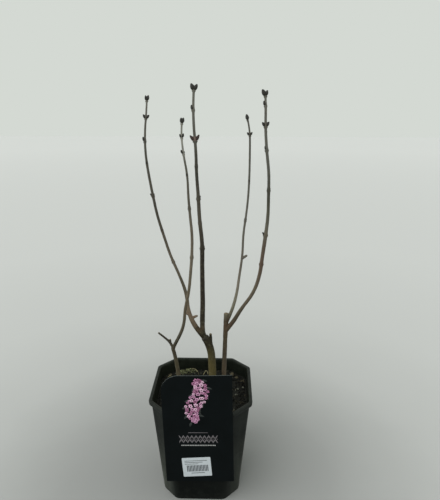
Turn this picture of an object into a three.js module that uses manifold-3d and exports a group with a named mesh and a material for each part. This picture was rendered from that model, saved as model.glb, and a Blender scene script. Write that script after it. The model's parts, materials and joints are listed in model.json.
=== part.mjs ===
// A young lilac in winter, leafless, in its square nursery pot with a picture card hooked on the rim.
// Millimetres, +Z up. The origin is the middle of the pot's flat underside and the card faces -Y.
import * as THREE from 'three';
import { mergeVertices } from 'three/addons/utils/BufferGeometryUtils.js';
import Module from 'manifold-3d';

const wasm = await Module();
wasm.setup();

// ---------------------------------------------------------------- driving dimensions

const GAP = 0.3; // clearance between neighbouring pieces
const RIGHT = 0; // compass of a bud or knob round its shoot, in degrees from +X towards +Y
const BACK = 90;
const LEFT = 180;

// The pot is a square with its four corners cut off, wider at the rim than at the base.
const POT = {
  height: 191,
  rimWidth: 187,
  rimCut: 32.5,
  rimRound: 4,
  baseWidth: 141.5,
  baseCut: 27,
  baseRound: 7,
  lipHeight: 8,
  lipProud: 4.3,
  wall: 1.6,
  floor: 2.5,
  drainRadius: 5,
  drainOffset: 42,
};

const SOIL = { top: 173, slump: 5, relief: 3, calmRadius: 22 };

// The card leans on the lip and on the wall below it.
const CARD = {
  width: 121,
  height: 225.5,
  thickness: 0.8,
  bigRadius: 32,
  smallRadius: 2,
  lean: 6.4,
  turn: 1.2,
  aboveRim: 78.5,
  middleX: -4.2,
  tongueWidth: 32,
  tongueDrop: 15,
};

// How finely limbs are laid out.
const ROUTE_STEP = 1; // spacing of a limb's route points
const RING_STEP = 13; // spacing of its rings
const LIMB_SIDES = 10;
const ELBOW_REACH = 16; // a limb's first bend fades over this length
const NODE_REACH = 5; // half the length of the swelling at a pair of buds
const NODE_SWELL = 0.2; // its share of the limb's radius at a pair of full-size buds
const FLARE_REACH = 6; // a stem's root flare fades over this height
const FLARE_RINGS = [3, 7];

// A limb starts at a foot on the soil or on its parent. Its lean to the right and to the back, in
// degrees from upright, is given at even steps from its start to its end, and its widths likewise.
// A node is a pair of buds, told by its distance down from the limb's end. The first of its sizes
// is the bud towards `compass` and the second the bud opposite. `slim` narrows long flower buds.
const STEMS = {
  centre: {
    foot: [20.5, -4],
    length: 111,
    lean: [-2, -1, -4.5, -30.5],
    back: [3],
    widths: [15.4, 14.6, 14.4, 14.6],
    flare: 3,
  },
  left: {
    foot: [-39, -6],
    length: 99,
    lean: [-7.5, -6.5, -13.5],
    back: [-5],
    widths: [8.8, 7.4, 7],
    flare: 2,
  },
  right: {
    foot: [40.5, -4],
    length: 159.5,
    lean: [1, 2.4],
    back: [2.7],
    widths: [9.4, 8.8, 8.6, 9.4],
    flare: 2.4,
  },
};

const BOUGHS = {
  tall: {
    parent: 'centre',
    at: 111,
    forkLength: 34,
    length: 459,
    elbow: -66,
    lean: [24.5, 5.5, -0.5, -0.5, 0.5, -7, -2.5, -4.5, -1, -5.5, -1, 4],
    back: [-0.5, 2.5, 4],
    widths: [9.8, 8.8, 7.9, 6.6, 5.7, 4.8, 4],
    crown: 150,
    nodes: [
      { down: 0.5, spread: 25, compass: RIGHT, sizes: [1.35, 1.45] },
      { down: 34.5, spread: 20, compass: LEFT, sizes: [1.1, 0.5] },
      { down: 88, spread: 36, compass: RIGHT, sizes: [1.5, 1.5], slim: 0.75 },
      { down: 134, spread: 24, compass: BACK + 30, sizes: [0.75, 0.55] },
      { down: 190, spread: 34, compass: RIGHT, sizes: [0.7, 0.4] },
      { down: 236, spread: 34, compass: BACK, sizes: [0.5, 0.5] },
      { down: 281, spread: 40, compass: RIGHT, sizes: [0.6, 0.4] },
    ],
  },
  far_left: {
    parent: 'centre',
    at: 111,
    forkLength: 30,
    length: 461,
    elbow: 20,
    lean: [-60.5, -30, -4.5, -21, -24.5, -17.5, -17.5, -11.5, -10.5, -8, -0.5, 6, 3],
    back: [6, 1],
    widths: [11, 7.2, 5, 5, 4.9, 4.6, 3.8, 3],
    crown: 110,
    nodes: [
      { down: 0.5, spread: 16, compass: RIGHT + 30, sizes: [1.15, 1.05] },
      { down: 31.5, spread: 38, compass: RIGHT, sizes: [0.95, 0.95] },
      { down: 72, spread: 24, compass: LEFT, sizes: [1, 0.4] },
      { down: 113, spread: 30, compass: BACK, sizes: [0.6, 0.6] },
      { down: 171, spread: 40, compass: LEFT, sizes: [0.7, 0.5] },
      { down: 238, spread: 36, compass: BACK, sizes: [0.5, 0.5] },
      { down: 299, spread: 30, compass: RIGHT, sizes: [0.5, 0.5] },
    ],
    knobs: [
      { up: 57, compass: LEFT, length: 9.5, width: 6.5, spread: 52 },
      { up: 48, compass: RIGHT, length: 11.5, width: 5.5, spread: 92 },
    ],
  },
  left: {
    parent: 'left',
    at: 95.5,
    forkLength: 26,
    length: 425,
    elbow: -37,
    lean: [48.5, 27.5, 4, 13, 5.5, 5, 1.5, -5, -4, -1, -10, -5, 6.5],
    back: [-5],
    widths: [6.6, 5.6, 5.2, 5.2, 4.8, 4, 3.3, 2.8],
    crown: 90,
    nodes: [
      { down: 1, spread: 13, compass: RIGHT, sizes: [1.05, 1] },
      { down: 24.5, spread: 26, compass: RIGHT, sizes: [0.85, 0.75] },
      { down: 51, spread: 26, compass: LEFT, sizes: [0.85, 0.5] },
      { down: 88, spread: 34, compass: BACK, sizes: [0.55, 0.55] },
      { down: 145, spread: 24, compass: RIGHT, sizes: [0.5, 0.5] },
      { down: 234, spread: 30, compass: RIGHT, sizes: [0.5, 0.45] },
      { down: 310, spread: 34, compass: BACK, sizes: [0.4, 0.4] },
    ],
  },
  outer_right: {
    parent: 'right',
    at: 124.5,
    forkLength: 24,
    length: 449,
    elbow: -19,
    lean: [52, 29, 35, 17, 5.5, 7, 5.5, -0.5, 0, -7.5, -4.5, -0.5, -3.5],
    back: [-6.5, -1],
    widths: [9, 6.2, 6.4, 6.6, 5.4, 5, 4.6, 3.5],
    crown: 112,
    nodes: [
      { down: 1, spread: 22, compass: LEFT, sizes: [1.35, 1.1] },
      { down: 17, spread: 18, compass: LEFT, sizes: [1, 0.35] },
      { down: 50.5, spread: 36, compass: RIGHT, sizes: [1.05, 1] },
      { down: 90, spread: 16, compass: LEFT, sizes: [0.9, 0.5] },
      { down: 159, spread: 34, compass: RIGHT, sizes: [0.5, 0.45] },
      { down: 240, spread: 50, compass: LEFT, sizes: [0.8, 0.4] },
      { down: 295, spread: 36, compass: LEFT, sizes: [0.5, 0.4] },
    ],
  },
  inner_right: {
    parent: 'right',
    at: 138.3,
    forkLength: 30,
    length: 384,
    elbow: -18,
    lean: [39, 18, 7.5, 8.5, 1, 8.5, 5.5, 2, 0.5, -0.5, -14],
    back: [7.5, 5.5],
    widths: [7, 5.2, 4.3, 3.9, 3.9, 3.7, 2.9],
    crown: 62,
    nodes: [
      { down: 0.5, spread: 0, compass: LEFT, sizes: [1.2] },
      { down: 28.5, spread: 40, compass: RIGHT, sizes: [0.8, 0.8] },
      { down: 113, spread: 30, compass: BACK, sizes: [0.55, 0.55] },
      { down: 184, spread: 30, compass: RIGHT, sizes: [0.45, 0.45] },
    ],
    knobs: [{ up: 129, compass: RIGHT, length: 10.5, width: 5.2, spread: 56 }],
  },
};

// Stubs of pruned or dead wood that end in a flat cut.
const STUBS = {
  pruned: {
    start: [17, -1, 258],
    length: 35,
    lean: [-1, -3],
    back: [0],
    widths: [9, 6.4, 5.2],
  },
  deadTwig: {
    start: [-53, -14.4, 268],
    length: 43,
    lean: [-9.5, -48.5, -51],
    back: [1],
    widths: [5.2, 4.2, 3.4],
  },
  spur: {
    start: [-56.8, -14.6, 276],
    length: 12,
    lean: [-6],
    back: [0],
    widths: [4.4, 3.4],
  },
};

// A resting lilac bud, drawn at its full size: plump, with a blunt point.
const BUD = { length: 8.4, width: 4.8, sides: 6 };
const BUD_OUTLINE = [[0, -0.12], [0.6, -0.08], [1, 0.3], [0.92, 0.62], [0.55, 0.9], [0, 1]];

// A knob is the blunt stump of a twig that fell off.
const KNOB_OUTLINE = [[0, -0.12], [1.1, -0.08], [0.92, 0.4], [0.76, 0.85], [0.5, 0.99], [0, 1]];

const COLOURS = {
  pot: { color: 0x1b1d1e, roughness: 0.5, metalness: 0 },
  soil: { color: 0x2b251d, roughness: 1, metalness: 0 },
  card: { color: 0x101318, roughness: 0.45, metalness: 0 },
  oldBark: { color: 0x55503a, roughness: 0.9, metalness: 0 },
  youngBark: { color: 0x5b4a3b, roughness: 0.85, metalness: 0 },
  tip: { color: 0x5a5648, roughness: 0.8, metalness: 0 },
};

// ---------------------------------------------------------------- solids

// One body: shared corners are merged and the triangles that a lathe folds flat on its axis go.
function closed(geometry) {
  geometry.deleteAttribute('normal');
  geometry.deleteAttribute('uv');
  const merged = mergeVertices(geometry, 1e-4);
  const index = merged.index.array;
  const kept = [];
  for (let i = 0; i < index.length; i += 3) {
    const [a, b, c] = [index[i], index[i + 1], index[i + 2]];
    if (a !== b && b !== c && c !== a) kept.push(a, b, c);
  }
  merged.setIndex(kept);
  return merged;
}

function toManifold(geometry) {
  const body = closed(geometry.clone());
  return new wasm.Manifold(
    new wasm.Mesh({
      numProp: 3,
      vertProperties: new Float32Array(body.attributes.position.array),
      triVerts: new Uint32Array(body.index.array),
    }),
  );
}

function toGeometry(manifold) {
  const { vertProperties, triVerts } = manifold.getMesh();
  const geometry = new THREE.BufferGeometry();
  geometry.setAttribute('position', new THREE.BufferAttribute(vertProperties, 3));
  geometry.setIndex(new THREE.BufferAttribute(triVerts, 1));
  return geometry;
}

function joined(geometries) {
  return toGeometry(geometries.map(toManifold).reduce((whole, piece) => whole.add(piece)));
}

function cutFrom(geometry, cutters) {
  const whole = toManifold(geometry);
  return toGeometry(cutters.map(toManifold).reduce((left, cutter) => left.subtract(cutter), whole));
}

// A lathe whose rings are laid elsewhere: place(target, ring, side) sets each corner.
function turned(profile, sides, place) {
  const lathe = new THREE.LatheGeometry(profile, sides);
  const position = lathe.attributes.position;
  const corner = new THREE.Vector3();
  for (let i = 0; i < position.count; i += 1) {
    place(corner, i % profile.length, Math.floor(i / profile.length) % sides);
    position.setXYZ(i, corner.x, corner.y, corner.z);
  }
  return closed(lathe);
}

function mesh(name, geometry, finish) {
  const part = new THREE.Mesh(geometry, new THREE.MeshStandardMaterial(finish));
  part.name = name;
  return part;
}

// The value of a list of evenly spaced numbers at share 0 to 1 of its length.
function valueAt(list, share) {
  const place = THREE.MathUtils.clamp(share, 0, 1) * (list.length - 1);
  const low = Math.min(Math.floor(place), list.length - 2);
  return list.length === 1 ? list[0] : THREE.MathUtils.lerp(list[low], list[low + 1], place - low);
}

// ---------------------------------------------------------------- pot, soil and card

// Corners of a square with its corners cut off by `cut` along each side, each corner rounded over
// `round` by two points, and every straight stretch split into `pieces`.
function potOutline({ half, cut, round }, pieces) {
  const inner = half - cut;
  const corners = [[half, inner], [inner, half], [-inner, half], [-half, inner],
    [-half, -inner], [-inner, -half], [inner, -half], [half, -inner]]
    .map(([x, y]) => new THREE.Vector2(x, y));
  const points = [];
  corners.forEach((corner, i) => {
    const before = corners[(i + 7) % 8].clone().sub(corner).normalize();
    const after = corners[(i + 1) % 8].clone().sub(corner).normalize();
    const entry = corner.clone().addScaledVector(before, round);
    const exit = corner.clone().addScaledVector(after, round);
    const middle = entry.clone().add(exit).multiplyScalar(0.25).addScaledVector(corner, 0.5);
    points.push(entry, middle, exit);
    const next = corners[(i + 1) % 8].clone().addScaledVector(after, -round);
    for (let k = 1; k < pieces; k += 1) points.push(exit.clone().lerp(next, k / pieces));
  });
  return points;
}

// Half width, corner cut and rounding of the pot's outer wall at a height, moved inwards by `inset`.
const CUT_PER_INSET = 2 - Math.SQRT2;
function potSection(z, inset) {
  const share = z / POT.height;
  const top = POT.rimWidth / 2 - POT.lipProud;
  return {
    z,
    half: THREE.MathUtils.lerp(POT.baseWidth / 2, top, share) - inset,
    cut: THREE.MathUtils.lerp(POT.baseCut, POT.rimCut, share) - inset * CUT_PER_INSET,
    round: THREE.MathUtils.lerp(POT.baseRound, POT.rimRound, share),
  };
}

// A body turned on the pot's outline. A ring with `scale` shrinks towards the pot's middle.
function onPotOutline(rings, pieces, height = (x, y, ring) => ring.z) {
  const outlines = rings.map((ring) => potOutline(ring, pieces));
  const profile = rings.map((ring) => new THREE.Vector2(ring.half * ring.scale, ring.z));
  return turned(profile, outlines[0].length, (corner, ring, side) => {
    const point = outlines[ring][side];
    const x = point.x * rings[ring].scale;
    const y = point.y * rings[ring].scale;
    corner.set(x, y, height(x, y, rings[ring]));
  });
}

function pot() {
  const lipFoot = POT.height - POT.lipHeight;
  const lip = (z) => potSection(z, -POT.lipProud * (z / POT.height));
  const ring = (section, scale = 1) => ({ ...section, scale });
  const shell = onPotOutline([
    ring(potSection(0, 0), 0),
    ring(potSection(0, 0)),
    ring(potSection(lipFoot, 0)),
    ring({ ...lip(POT.height), z: lipFoot }),
    ring(lip(POT.height)),
    ring(potSection(POT.height, POT.wall)),
    ring(potSection(POT.floor, POT.wall)),
    ring(potSection(POT.floor, POT.wall), 0),
  ], 1);
  const drains = [];
  for (const x of [-1, 1]) {
    for (const y of [-1, 1]) {
      const drain = new THREE.CylinderGeometry(POT.drainRadius, POT.drainRadius, POT.floor * 4, 16);
      drain.rotateX(Math.PI / 2);
      drain.translate(x * POT.drainOffset, y * POT.drainOffset, 0);
      drains.push(drain);
    }
  }
  return mesh('pot', cutFrom(shell, drains), COLOURS.pot);
}

// The soil's top dips in shallow hollows, is calm round each stem's foot and slumps at the wall.
function soilDip(x, y) {
  const wave = Math.sin(x * 0.11 + 1.3) * Math.sin(y * 0.13 + 0.4) + 0.5 * Math.sin(x * 0.23 - y * 0.19);
  const distances = Object.values(STEMS).map(({ foot }) => Math.hypot(x - foot[0], y - foot[1]));
  const calm = THREE.MathUtils.smoothstep(Math.min(...distances), SOIL.calmRadius, SOIL.calmRadius * 1.6);
  return SOIL.relief * calm * (0.5 + wave / 3);
}

function soil() {
  const side = (z) => potSection(z, POT.wall + GAP);
  const rings = [{ ...side(POT.floor + GAP), scale: 0 }, { ...side(POT.floor + GAP), scale: 1 }];
  const edge = { ...side(SOIL.top - SOIL.slump), scale: 1 };
  rings.push(edge);
  for (const scale of [0.9, 0.74, 0.58, 0.42, 0.26, 0.12, 0]) rings.push({ ...edge, z: SOIL.top, scale });
  const height = (x, y, ring) => (ring.z === SOIL.top ? ring.z - soilDip(x, y) : ring.z);
  return mesh('soil', onPotOutline(rings, 2, height), COLOURS.soil);
}

function cardOutline() {
  const { width, height, bigRadius, smallRadius } = CARD;
  const [left, right] = [-width / 2, width / 2];
  const shape = new THREE.Shape();
  shape.moveTo(left + smallRadius, -height);
  shape.lineTo(right - smallRadius, -height);
  shape.absarc(right - smallRadius, smallRadius - height, smallRadius, -Math.PI / 2, 0, false);
  shape.lineTo(right, 0);
  shape.lineTo(left + bigRadius, 0);
  shape.absarc(left + bigRadius, -bigRadius, bigRadius, Math.PI / 2, Math.PI, false);
  shape.lineTo(left, smallRadius - height);
  shape.absarc(left + smallRadius, smallRadius - height, smallRadius, Math.PI, Math.PI * 1.5, false);
  return shape;
}

// The card's tongue: back over the lip, then down inside the wall.
function tongue(cardBack) {
  const over = POT.height + GAP;
  const { thickness, tongueDrop, tongueWidth } = CARD;
  const wallInside = (z) => -potSection(z, POT.wall + GAP).half;
  const low = POT.height - tongueDrop;
  const shape = new THREE.Shape();
  shape.moveTo(cardBack(over) - thickness / 2, over);
  shape.lineTo(wallInside(over), over);
  shape.lineTo(wallInside(low), low);
  shape.lineTo(wallInside(low) + thickness, low);
  shape.lineTo(wallInside(over) + thickness, over + thickness);
  shape.lineTo(cardBack(over) - thickness / 2, over + thickness);
  const strip = new THREE.ExtrudeGeometry(shape, { depth: tongueWidth, bevelEnabled: false });
  strip.translate(0, 0, -tongueWidth / 2);
  // The outline's own x and y become the pot's y and z, and the strip's depth lies along x.
  strip.applyMatrix4(new THREE.Matrix4().set(0, 0, 1, 0, 1, 0, 0, 0, 0, 1, 0, 0, 0, 0, 0, 1));
  return strip;
}

function labelCard() {
  const lean = THREE.MathUtils.degToRad(CARD.lean);
  const lipFoot = POT.height - POT.lipHeight;
  const lipFront = -POT.rimWidth / 2 - GAP;
  const cardBack = (z) => lipFront - Math.tan(lean) * (z - lipFoot);
  const topZ = POT.height + CARD.aboveRim;
  const sheet = new THREE.ExtrudeGeometry(cardOutline(), {
    depth: CARD.thickness, bevelEnabled: false, curveSegments: 8,
  });
  sheet.rotateZ(THREE.MathUtils.degToRad(CARD.turn));
  sheet.rotateX(Math.PI / 2 + lean);
  sheet.translate(CARD.middleX, cardBack(topZ), topZ);
  return mesh('label_card', joined([sheet, tongue(cardBack)]), COLOURS.card);
}

// ---------------------------------------------------------------- limbs

// The limb's route in even steps, each one leaning as the limb's lists say.
function grow(limb) {
  const point = new THREE.Vector3(...limb.start);
  const route = [point.clone()];
  const step = new THREE.Vector3();
  for (let s = ROUTE_STEP / 2; s < limb.length; s += ROUTE_STEP) {
    const bend = (limb.elbow ?? 0) * Math.exp(-s / ELBOW_REACH);
    const lean = THREE.MathUtils.degToRad(valueAt(limb.lean, s / limb.length) + bend);
    const back = THREE.MathUtils.degToRad(valueAt(limb.back, s / limb.length));
    step.set(Math.tan(lean), Math.tan(back), 1).setLength(ROUTE_STEP);
    route.push(point.add(step).clone());
  }
  return { ...limb, route };
}

// Where the limb is at a length along it, with its direction and the two axes of its section.
function frameAt(limb, s) {
  const place = THREE.MathUtils.clamp(s / ROUTE_STEP, 0, limb.route.length - 1.001);
  const low = Math.floor(place);
  const [a, b] = [limb.route[low], limb.route[low + 1]];
  const along = b.clone().sub(a).normalize();
  const right = new THREE.Vector3(1, 0, 0).addScaledVector(along, -along.x).normalize();
  const back = along.clone().cross(right);
  return { centre: a.clone().lerp(b, place - low), along, right, back };
}

function radiusAt(limb, s) {
  let radius = valueAt(limb.widths, s / limb.length) / 2;
  if (limb.flare) radius += (limb.flare / 2) * Math.exp(-s / FLARE_REACH);
  for (const { down, sizes } of limb.nodes ?? []) {
    const away = (s - (limb.length - down)) / NODE_REACH;
    radius *= 1 + NODE_SWELL * Math.max(...sizes) * Math.exp(-away * away * 2);
  }
  return radius;
}

// The stretch of a limb between two lengths along it, with a flat cut at both ends.
function stretch(limb, from, to) {
  const stations = new Set([from, to]);
  const count = Math.ceil((to - from) / RING_STEP);
  for (let k = 1; k < count; k += 1) stations.add(from + ((to - from) * k) / count);
  for (const { down } of limb.nodes ?? []) {
    for (const s of [-NODE_REACH, 0, NODE_REACH]) stations.add(limb.length - down + s);
  }
  if (limb.flare) for (const s of FLARE_RINGS) stations.add(s);
  const inside = [...stations].filter((s) => s >= from && s <= to).sort((a, b) => a - b);
  const spaced = inside.filter((s, i) => s === to || i === 0 || (s - inside[i - 1] > 1 && to - s > 1));
  const rings = [{ s: from, radius: 0 }];
  for (const s of spaced) rings.push({ s, radius: radiusAt(limb, s) });
  rings.push({ s: to, radius: 0 });
  const profile = rings.map(({ s, radius }) => new THREE.Vector2(radius, s));
  return turned(profile, LIMB_SIDES, (corner, ring, side) => {
    const { centre, right, back } = frameAt(limb, rings[ring].s);
    if (limb.foot && rings[ring].s === 0) {
      right.set(1, 0, 0); // a stem is cut level where it meets the soil
      back.set(0, 1, 0);
    }
    const angle = (side / LIMB_SIDES) * Math.PI * 2;
    corner.copy(centre)
      .addScaledVector(right, rings[ring].radius * Math.cos(angle))
      .addScaledVector(back, rings[ring].radius * Math.sin(angle));
  });
}

// A bud or knob that leaves the limb at length s, leaning out by `spread` towards `compass`.
function sprout(limb, s, outline, { compass, spread, length, width }) {
  const { centre, along, right, back } = frameAt(limb, s);
  const turn = THREE.MathUtils.degToRad(compass);
  const out = right.multiplyScalar(Math.cos(turn)).addScaledVector(back, Math.sin(turn));
  const tilt = THREE.MathUtils.degToRad(spread);
  const pointing = along.multiplyScalar(Math.cos(tilt)).addScaledVector(out, Math.sin(tilt));
  const profile = outline.map(([r, z]) => new THREE.Vector2((r * width) / 2, z * length));
  const body = new THREE.LatheGeometry(profile, BUD.sides);
  body.applyQuaternion(new THREE.Quaternion().setFromUnitVectors(new THREE.Vector3(0, 1, 0), pointing));
  const seat = centre.addScaledVector(out, radiusAt(limb, s) * 0.45 * Math.sin(tilt));
  body.translate(seat.x, seat.y, seat.z);
  return body;
}

function budsOf(limb, from, to) {
  const buds = [];
  for (const { down, spread, compass, sizes, slim = 1 } of limb.nodes) {
    const s = limb.length - down;
    if (s <= from + BUD.length || s > to) continue;
    sizes.forEach((size, i) => {
      buds.push(sprout(limb, s - 1, BUD_OUTLINE, {
        compass: compass + i * 180,
        spread,
        length: BUD.length * size,
        width: BUD.width * size * slim,
      }));
    });
  }
  return buds;
}

function knobsOf(limb) {
  return (limb.knobs ?? []).map((knob) => sprout(limb, knob.up, KNOB_OUTLINE, knob));
}

// A rounded knuckle that fills the crotch where a limb leaves its parent.
function knuckle(centre, radius) {
  const ball = new THREE.SphereGeometry(radius, LIMB_SIDES, 6);
  ball.translate(centre.x, centre.y, centre.z);
  return ball;
}

// ---------------------------------------------------------------- assembly

const lilac = new THREE.Group();
lilac.add(pot(), soil(), labelCard());

const stems = {};
for (const [name, stem] of Object.entries(STEMS)) {
  stems[name] = grow({ ...stem, start: [...stem.foot, SOIL.top + GAP] });
}
const boughs = {};
for (const [name, bough] of Object.entries(BOUGHS)) {
  const parent = stems[bough.parent];
  boughs[name] = grow({ ...bough, start: frameAt(parent, bough.at).centre.toArray() });
}
const stubs = {};
for (const [name, stub] of Object.entries(STUBS)) stubs[name] = grow(stub);
const stubsOn = { centre: ['pruned'], left: ['deadTwig', 'spur'], right: [] };

// Each stem keeps the first stretch of its boughs, so its forks are whole.
for (const [name, stem] of Object.entries(stems)) {
  const pieces = [stretch(stem, 0, stem.length)];
  for (const bough of Object.values(boughs).filter(({ parent }) => parent === name)) {
    pieces.push(stretch(bough, 0, bough.forkLength));
    pieces.push(knuckle(frameAt(stem, bough.at).centre, radiusAt(stem, bough.at) * 1.04));
  }
  for (const stub of stubsOn[name]) pieces.push(stretch(stubs[stub], 0, stubs[stub].length));
  lilac.add(mesh(`${name}_stem`, joined(pieces), COLOURS.oldBark));
}

// A bough starts past its fork, and its crown, a shoot tip with its buds, starts past the bough.
for (const [name, bough] of Object.entries(boughs)) {
  const crownFrom = bough.length - bough.crown;
  const [low, high] = [bough.forkLength + GAP, crownFrom - GAP];
  const buds = budsOf(bough, low, high - BUD.length);
  const limb = joined([stretch(bough, low, high), ...buds, ...knobsOf(bough)]);
  lilac.add(mesh(`${name}_bough`, limb, COLOURS.youngBark));
  const tipBuds = budsOf(bough, crownFrom, bough.length);
  const tip = joined([stretch(bough, crownFrom, bough.length), ...tipBuds]);
  lilac.add(mesh(`${name}_tip`, tip, COLOURS.tip));
}

export default lilac;
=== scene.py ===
"""The looks of a young leafless lilac bush in its square black nursery pot, with a picture card.

Lengths are in millimetres, as in the part's source, and add_mesh turns them into metres. Colours are
written as they look, from 0 to 255, and srgb turns them into Blender's linear ones.
"""

import json
import random
from math import atan2, cos, hypot, pi, radians, sin, sqrt, tan

import bpy
import numpy as np
from mathutils import Euler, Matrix, Quaternion, Vector, noise

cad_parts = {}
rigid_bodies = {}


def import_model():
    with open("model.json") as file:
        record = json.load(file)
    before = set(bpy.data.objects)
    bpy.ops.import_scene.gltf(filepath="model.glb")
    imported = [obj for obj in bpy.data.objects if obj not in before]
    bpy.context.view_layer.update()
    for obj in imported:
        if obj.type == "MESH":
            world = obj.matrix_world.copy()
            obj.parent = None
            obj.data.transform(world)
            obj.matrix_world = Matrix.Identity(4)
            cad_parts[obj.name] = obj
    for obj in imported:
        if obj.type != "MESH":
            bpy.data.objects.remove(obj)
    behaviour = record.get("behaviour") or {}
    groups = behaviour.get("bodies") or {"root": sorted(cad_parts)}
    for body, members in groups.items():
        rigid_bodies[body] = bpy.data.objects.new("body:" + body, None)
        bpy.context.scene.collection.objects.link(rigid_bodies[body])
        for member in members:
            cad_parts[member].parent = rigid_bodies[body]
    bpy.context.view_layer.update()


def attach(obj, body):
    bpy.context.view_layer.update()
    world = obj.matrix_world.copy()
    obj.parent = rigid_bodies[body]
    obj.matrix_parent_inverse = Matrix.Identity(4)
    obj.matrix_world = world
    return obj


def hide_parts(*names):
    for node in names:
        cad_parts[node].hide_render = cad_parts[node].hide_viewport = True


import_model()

MM = 0.001
rng = random.Random(7)

# ---- the photograph's camera

CAMERA_PLACE = (51.4, -811.0, 702.8)
CAMERA_PITCH = 10.98  # degrees below level
CAMERA_HEADING = 1.3  # degrees to the left of the pot's own depth
CAMERA_ROLL = 0.13
FRAME_HEIGHT = 500  # of the 440 x 500 frame
FOCAL_PIXELS = 467.8
AXIS_ROW = 201.1  # the row of the frame that the lens points at
SENSOR = 36.0
NEAR_CLIP = 0.05  # metres


def add_camera():
    data = bpy.data.cameras.new("view")
    data.sensor_fit, data.sensor_width = "AUTO", SENSOR
    data.lens = SENSOR * FOCAL_PIXELS / FRAME_HEIGHT
    data.shift_y = (AXIS_ROW - FRAME_HEIGHT / 2) / FRAME_HEIGHT
    data.clip_start = NEAR_CLIP
    camera = add_object("view", data)
    camera.location = Vector(CAMERA_PLACE) * MM
    aim = Euler((radians(90 - CAMERA_PITCH), 0, radians(CAMERA_HEADING))).to_quaternion()
    camera.rotation_mode = "QUATERNION"
    camera.rotation_quaternion = aim @ Quaternion((0, 0, 1), radians(CAMERA_ROLL))
    bpy.context.scene.camera = camera


# ---- sizes shared with the solids

POT = dict(
    height=191, rim_width=187, rim_cut=32.5, rim_round=4, base_width=141.5, base_cut=27, base_round=7,
    lip_height=8, lip_proud=4.3, wall=1.6, floor=2.5, drain_radius=5, drain_offset=42,
)
SOIL = dict(top=173, slump=5, relief=3, calm_radius=22)
CARD = dict(
    width=121, height=225.5, thickness=0.8, big_radius=32, small_radius=2, lean=6.4, turn=1.2,
    above_rim=78.5, middle_x=-4.2, tongue_width=32, tongue_drop=15,
)
GAP = 0.3
RIGHT, BACK, LEFT = 0, 90, 180
ROUTE_STEP = 1.0
ELBOW_REACH = 16
NODE_REACH = 5
NODE_SWELL = 0.2
FLARE_REACH = 6
BUD_LENGTH = 8.4
BUD_WIDTH = 4.8


def pair(down, spread, compass, *sizes, slim=1.0):
    """The buds of a node at a distance down from the limb's end, the second opposite the first."""
    return dict(down=down, spread=spread, compass=compass, sizes=sizes, slim=slim)


def knob(up, compass, length, width, spread):
    return dict(up=up, compass=compass, length=length, width=width, spread=spread)


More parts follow.
